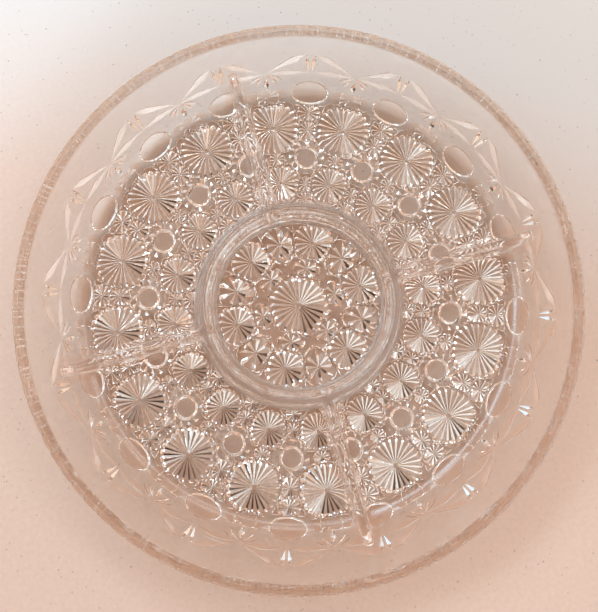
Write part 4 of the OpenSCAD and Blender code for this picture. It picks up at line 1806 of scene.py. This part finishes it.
@dataclass(frozen=True)
class CounterTop:
    """Pale speckled counter top, with a painted window sheen at its far side.

    Attributes:
        colour, light: darker and lighter colour of its ground.
        far, painted_sheen_bearing: painted sheen of the window, a greyer colour laid over the ground at the
            far side, and the direction of that side.
        painted_sheen_span: distances along that direction at which the painted sheen starts and ends, in
            metres.
        fleck_edge: distances from a cell's middle at which a fleck ends and is full, as shares of a cell.
        fleck_least, fleck_most: random tone from which a cell has a fleck, and how much of it shows.
    """

    colour: Colour = (0.7, 0.487, 0.39, 1.0)
    light: Colour = (0.82, 0.61, 0.51, 1.0)
    mottle_scale: float = 420.0
    mottle_detail: float = 4.0
    far: Colour = (0.7, 0.625, 0.585, 1.0)
    painted_sheen_bearing: float = math.radians(75) + PICTURE_TURN
    painted_sheen_span: tuple[float, float] = (0.03, 0.15)
    fleck: Colour = (0.2, 0.12, 0.09, 1.0)
    fleck_scale: float = 330.0
    fleck_edge: tuple[float, float] = (0.2, 0.06)
    fleck_least: float = 0.54
    fleck_most: float = 0.9
    gloss: float = 0.19
    ior: float = 1.56
    half: float = 1.5
    drop: float = 0.00005

    def build(self) -> bpy.types.Object:
        """Makes the sheet just under the dish, and its material.

        Returns:
            The sheet.
        """
        corners = np.array([[-1, -1, 0], [1, -1, 0], [1, 1, 0], [-1, 1, 0]]) * self.half
        mesh = bpy.data.meshes.new("counter_top")
        mesh.from_pydata(corners.tolist(), [], [(0, 1, 2, 3)])
        sheet = bpy.data.objects.new("counter_top", mesh)
        bpy.context.scene.collection.objects.link(sheet)
        sheet.location.z = -self.drop
        mesh.materials.append(self.material())
        LOG.info("%s: %.1f m square", sheet.name, 2 * self.half)
        return sheet

    def material(self) -> Material:
        """Pale mottled ground with flecks near the middles of the few cells whose random tone is high, under
        a painted window sheen towards the far side.

        Returns:
            The material.
        """
        material = bpy.data.materials.new("counter_top")
        material.use_nodes = True
        tree = material.node_tree
        shader = tree.nodes["Principled BSDF"]
        preset(shader, Roughness=self.gloss, IOR=self.ior)
        place = tree.nodes.new("ShaderNodeTexCoord").outputs["Object"]
        mottle, cells, tones, near, chosen, both = (tree.nodes.new("ShaderNode" + kind) for kind in (
            "TexNoise", "TexVoronoi", "Mix", "MapRange", "MapRange", "Math"))
        preset(mottle, Scale=self.mottle_scale, Detail=self.mottle_detail)
        preset(cells, Scale=self.fleck_scale)
        tones.data_type = "RGBA"
        preset(tones, A=self.colour, B=self.light)
        preset(near, From_Min=self.fleck_edge[0], From_Max=self.fleck_edge[1])
        preset(chosen, From_Min=self.fleck_least, To_Max=self.fleck_most)
        both.operation = "MULTIPLY"
        # Painted sheen: the far colour stands for the window's reflection, laid over the ground towards the
        # far side.
        away = (math.cos(self.painted_sheen_bearing), math.sin(self.painted_sheen_bearing), 0.0)
        change = mask_along(tree, place, away, *self.painted_sheen_span)
        for start, end in (
                (place, mottle.inputs["Vector"]), (place, cells.inputs["Vector"]),
                (mottle.outputs["Fac"], tones.inputs["Factor"]),
                (cells.outputs["Distance"], near.inputs["Value"]),
                (cells.outputs["Color"], chosen.inputs["Value"]),
                (near.outputs["Result"], both.inputs[0]), (chosen.outputs["Result"], both.inputs[1])):
            tree.links.new(start, end)
        ground = laid_over(tree, change.outputs["Result"], tones.outputs["Result"], self.far)
        colour = laid_over(tree, both.outputs["Value"], ground, self.fleck)
        tree.links.new(colour, shader.inputs["Base Color"])
        return material


@dataclass(frozen=True)
class Viewpoint:
    """The camera over the dish.

    Turn is the direction of the picture's right edge about the axis, and tilt the lean of the view from
    upright, in radians. Height, back and shift place the lens over the counter, towards the picture's lower
    edge and sideways, in metres. Focal length and axis are in the cropped picture's own points.
    """

    turn: float = PICTURE_TURN
    tilt: float = math.radians(5.56)
    height: float = 0.4083
    back: float = 0.0264
    shift: float = 0.00105
    focal: float = 760.6
    axis: tuple[float, float] = (301.0, 280.9)
    near: float = 0.01

    def build(self) -> bpy.types.Object:
        """Makes the camera. Blender's sensor width lies along the picture's longer side, its height.

        Returns:
            The camera.
        """
        data = bpy.data.cameras.new("viewpoint")
        data.sensor_fit = "AUTO"
        data.lens = data.sensor_width * self.focal / max(IMAGE_SIZE)
        data.shift_x = (IMAGE_SIZE[0] / 2 - self.axis[0]) / max(IMAGE_SIZE)
        data.shift_y = (self.axis[1] - IMAGE_SIZE[1] / 2) / max(IMAGE_SIZE)
        data.clip_start = self.near
        camera = bpy.data.objects.new("viewpoint", data)
        bpy.context.scene.collection.objects.link(camera)
        right = Vector((math.cos(self.turn), math.sin(self.turn), 0))
        up = Vector((-math.sin(self.turn), math.cos(self.turn), 0))
        look = up * math.sin(self.tilt) - Vector((0, 0, 1)) * math.cos(self.tilt)
        above = right.cross(look)
        place = right * self.shift - up * self.back + Vector((0, 0, self.height))
        camera.matrix_world = Matrix((
            (right.x, above.x, -look.x, place.x), (right.y, above.y, -look.y, place.y),
            (right.z, above.z, -look.z, place.z), (0, 0, 0, 1)))
        bpy.context.scene.camera = camera
        LOG.info("%s: %.3f m over the counter", camera.name, self.height)
        return camera


@dataclass(frozen=True)
class SkyPatch:
    """A round patch of the room over the dish that is lighter or darker than the rest.

    Angles are in degrees: its bearing in the picture, anticlockwise from the right edge, the lean of its
    middle from straight above, and half its width. Its edge is soft between two shares of that half.
    """

    bearing: float
    lean: float
    half: float
    colour: Colour
    soft: tuple[float, float] = (1.25, 0.85)

    def direction(self, turn: float) -> Vector:
        """Unit vector from the dish to the patch's middle, for a picture turned by the given angle."""
        lean, angle = math.radians(self.lean), math.radians(self.bearing) + turn
        return Vector((math.sin(lean) * math.cos(angle), math.sin(lean) * math.sin(angle), math.cos(lean)))

    def paint(self, tree: NodeTree, place: Socket, under: Socket, turn: float) -> Socket:
        """Lays the patch over a colour, with a soft edge where the cosine to its middle falls.

        Args:
            tree: the world's nodes.
            place: direction that is looked in.
            under: colour without the patch.
            turn: turn of the picture, in radians.

        Returns:
            The colour with the patch.
        """
        shut, full = (math.cos(math.radians(self.half * share)) for share in self.soft)
        mask = mask_along(tree, place, self.direction(turn), shut, full)
        return laid_over(tree, mask.outputs["Result"], under, self.colour)


@dataclass(frozen=True)
class SkyBand:
    """A light band of the room beyond the dish, at one height over the horizon, like a row of panes.

    Angles are in degrees: the bearing of its middle in the picture, anticlockwise from the right edge, the
    leans of its upper and lower edges from straight above, and half its length. Soft is a cosine.
    """

    bearing: float
    leans: tuple[float, float]
    half: float
    soft: float
    colour: Colour

    def paint(self, tree: NodeTree, place: Socket, under: Socket, turn: float) -> Socket:
        """Lays the band over a colour where three masks are all open.

        One closes where the cosine from upright rises over the upper edge's, one where it falls below the
        lower edge's, and one where the share of the direction that points along the bearing gets too small.

        Args:
            tree: the world's nodes.
            place: direction that is looked in.
            under: colour without the band.
            turn: turn of the picture, in radians.

        Returns:
            The colour with the band.
        """
        upper, lower = (math.cos(math.radians(a)) for a in self.leans)
        angle = math.radians(self.bearing) + turn
        side = math.cos(math.radians(self.half)) * math.sin(math.radians(sum(self.leans) / 2))
        spans = (
            ((0.0, 0.0, 1.0), upper + self.soft, upper),
            ((0.0, 0.0, 1.0), lower - self.soft, lower),
            ((math.cos(angle), math.sin(angle), 0.0), side - self.soft, side + self.soft))
        share = None
        for axis, shut, full in spans:
            mask = mask_along(tree, place, axis, shut, full)
            if share is not None:
                tree.links.new(share, mask.inputs["To Max"])
            share = mask.outputs["Result"]
        return laid_over(tree, share, under, self.colour)


@dataclass(frozen=True)
class Daylight:
    """A large window beyond the dish, and the soft light of the room.

    Attributes:
        turn, bearing: direction of the picture's right edge, in radians, and of the window in it, in degrees.
        window_place, aim_h: the window's distance and height, and the height that it faces, in metres.
        tones: colours of the room from the side away from the window to its side, each with its share.
        tone_lift: rise of the line along which the tones change, per unit along the counter.
    """

    turn: float = PICTURE_TURN
    bearing: float = 141.0
    window_power: float = 6.5
    window_colour: tuple[float, float, float] = (0.56, 0.83, 1.0)
    window_size: tuple[float, float] = (1.5, 0.3)
    window_place: tuple[float, float] = (0.8, 0.92)
    aim_h: float = 0.02
    tones: tuple[tuple[float, Colour], ...] = (
        (0.0, (0.85, 0.6, 0.45, 1.0)),
        (0.42, (1.04, 0.75, 0.55, 1.0)),
        (0.6, (1.15, 0.88, 0.7, 1.0)),
        (0.84, (0.92, 0.98, 1.0, 1.0)),
        (1.0, (0.9, 1.08, 1.25, 1.0)))
    tone_lift: float = 0.35
    patches: tuple[SkyPatch | SkyBand, ...] = (
        SkyBand(bearing=78.0, leans=(36.0, 45.0), half=68.0, soft=0.03, colour=(3.4, 3.9, 4.2, 1.0)),
        SkyPatch(bearing=0.0, lean=0.0, half=27.0, colour=(0.62, 0.45, 0.36, 1.0)),
        SkyPatch(bearing=-35.0, lean=26.0, half=17.0, colour=(1.0, 0.96, 0.9, 1.0)),
        SkyPatch(bearing=-135.0, lean=28.0, half=17.5, colour=(0.06, 0.035, 0.025, 1.0)))
    room_strength: float = 0.92

    def window(self) -> bpy.types.Object:
        """Makes the window: one rectangular lamp that faces the dish.

        Returns:
            The lamp.
        """
        data = bpy.data.lights.new("window", "AREA")
        data.shape = "RECTANGLE"
        data.size, data.size_y = self.window_size
        data.energy = self.window_power
        data.color = self.window_colour
        lamp = bpy.data.objects.new("window", data)
        bpy.context.scene.collection.objects.link(lamp)
        away, height = self.window_place
        angle = math.radians(self.bearing) + self.turn
        lamp.location = (away * math.cos(angle), away * math.sin(angle), height)
        lamp.rotation_mode = "QUATERNION"
        lamp.rotation_quaternion = (Vector((0, 0, self.aim_h)) - lamp.location).to_track_quat("-Z", "Y")
        LOG.info("%s: %.1f W", lamp.name, self.window_power)
        return lamp

    def room(self) -> bpy.types.World:
        """Makes the room as a world: a row of tones towards the window, and the patches over it.

        Returns:
            The world.
        """
        world = bpy.data.worlds.new("room")
        bpy.context.scene.world = world
        world.use_nodes = True
        tree = world.node_tree
        back = tree.nodes["Background"]
        preset(back, Strength=self.room_strength)
        place = tree.nodes.new("ShaderNodeTexCoord").outputs["Generated"]
        angle = math.radians(self.bearing) + self.turn
        towards = Vector((math.cos(angle), math.sin(angle), self.tone_lift)).normalized()
        share = mask_along(tree, place, towards, -1.0, 1.0)
        ramp = tree.nodes.new("ShaderNodeValToRGB")
        stops = ramp.color_ramp.elements
        stops[0].position, stops[0].color = self.tones[0]
        stops[1].position, stops[1].color = self.tones[-1]
        for position, colour in self.tones[1:-1]:
            stops.new(position).color = colour
        tree.links.new(share.outputs["Result"], ramp.inputs["Fac"])
        colour = ramp.outputs["Color"]
        for patch in self.patches:
            colour = patch.paint(tree, place, colour, self.turn)
        tree.links.new(colour, back.inputs["Color"])
        LOG.info("%s: %d patches", world.name, len(self.patches))
        return world

    def build(self) -> None:
        """Makes the window and the room."""
        self.window()
        self.room()


@dataclass
class RelishDish:
    """The whole dish: its smooth glass, and the moulded pattern that is let into it, both by node."""

    section: DishSection = field(default_factory=DishSection)
    smooth: dict[str, GlassPiece] = field(default_factory=dict)
    moulded: dict[str, GlassPiece] = field(default_factory=dict)

    def shape(self) -> None:
        """Builds every piece, the smooth ones first."""
        bowl, under = Bowl(self.section), Underside(self.section)
        smooth = [
            bowl.compartment_floor(), bowl.side_wall(), bowl.well_floor(), bowl.centre_ring(),
            bowl.foot_ring(under.bevel), RimBand(self.section).build(), *(bowl.divider(q) for q in Quarter)]
        moulded = [*under.pieces(), *WallPattern(under).pieces()]
        for piece in [*smooth, *moulded]:
            piece.build()
        self.smooth = {piece.node: piece for piece in smooth}
        self.moulded = {piece.node: piece for piece in moulded}

    def let_in(self) -> None:
        """Lets the roots of the pattern into the glass that carries it.

        The large daisies reach over the edge between floor and wall, so both get their sockets.
        """
        carried = {
            "well_floor": ["well_daisies", "centre_daisy", "well_inner_stars", "well_outer_stars"],
            "compartment_floor": [
                "large_daisies", "small_daisies", "small_buttons", "mid_stars", "inner_stars", "ring_stars"],
            "side_wall": [
                "large_daisies", "large_buttons", "outer_stars",
                *(node for node in self.moulded if node.startswith("wall_"))]}
        for carrier, nodes in carried.items():
            self.smooth[carrier].socket([self.moulded[node] for node in nodes])

    def dress(self) -> None:
        """Gives every piece its glass, and with it the painted shade in that glass's tint.

        The centre ring and the dividers are drawn glass. The rim's edge has its own streaked glass with the
        darkest painted shade, but its slope inside the dish is plain.
        """
        ripple = Ripple().group()
        glass = {finish: finish.value.material(ripple) for finish in FinishAndShade}
        joint = GlassJoint().material()
        grains = {quarter.node: Grain(Run.ALONG, quarter.bearing) for quarter in Quarter}
        grains["centre_ring"] = Grain(Run.ROUND)
        # Moulded, drawn, button and edge glass carry painted shade in their warm tints.
        outer = {node: FinishAndShade.DRAWN for node in grains} | {node: FinishAndShade.MOULDED for node in self.moulded}
        outer["small_buttons"] = FinishAndShade.BUTTON
        inner = dict(outer)
        outer["rim_band"] = FinishAndShade.EDGE
        grains["rim_band"] = Grain(Run.ACROSS)
        for node, piece in (self.smooth | self.moulded).items():
            outside, inside = outer.get(node, FinishAndShade.PLAIN), inner.get(node, FinishAndShade.PLAIN)
            piece.dress(self.section, glass[outside], joint, glass[inside], grains.get(node))


def main() -> None:
    """Builds the dish, the counter, the light and the camera, in that order."""
    logging.basicConfig(level=logging.INFO, format="%(message)s")
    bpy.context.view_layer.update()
    dish = RelishDish()
    dish.shape()
    dish.let_in()
    dish.dress()
    CounterTop().build()
    Daylight().build()
    Viewpoint().build()
    scene = bpy.context.scene
    scene.view_settings.view_transform = "Standard"
    scene.cycles.transparent_max_bounces = JOINT_BOUNCES
    scene.cycles.max_bounces = GLASS_BOUNCES
    scene.cycles.transmission_bounces = GLASS_BOUNCES
    scene.cycles.glossy_bounces = GLOSSY_BOUNCES


if __name__ == "__main__":
    main()
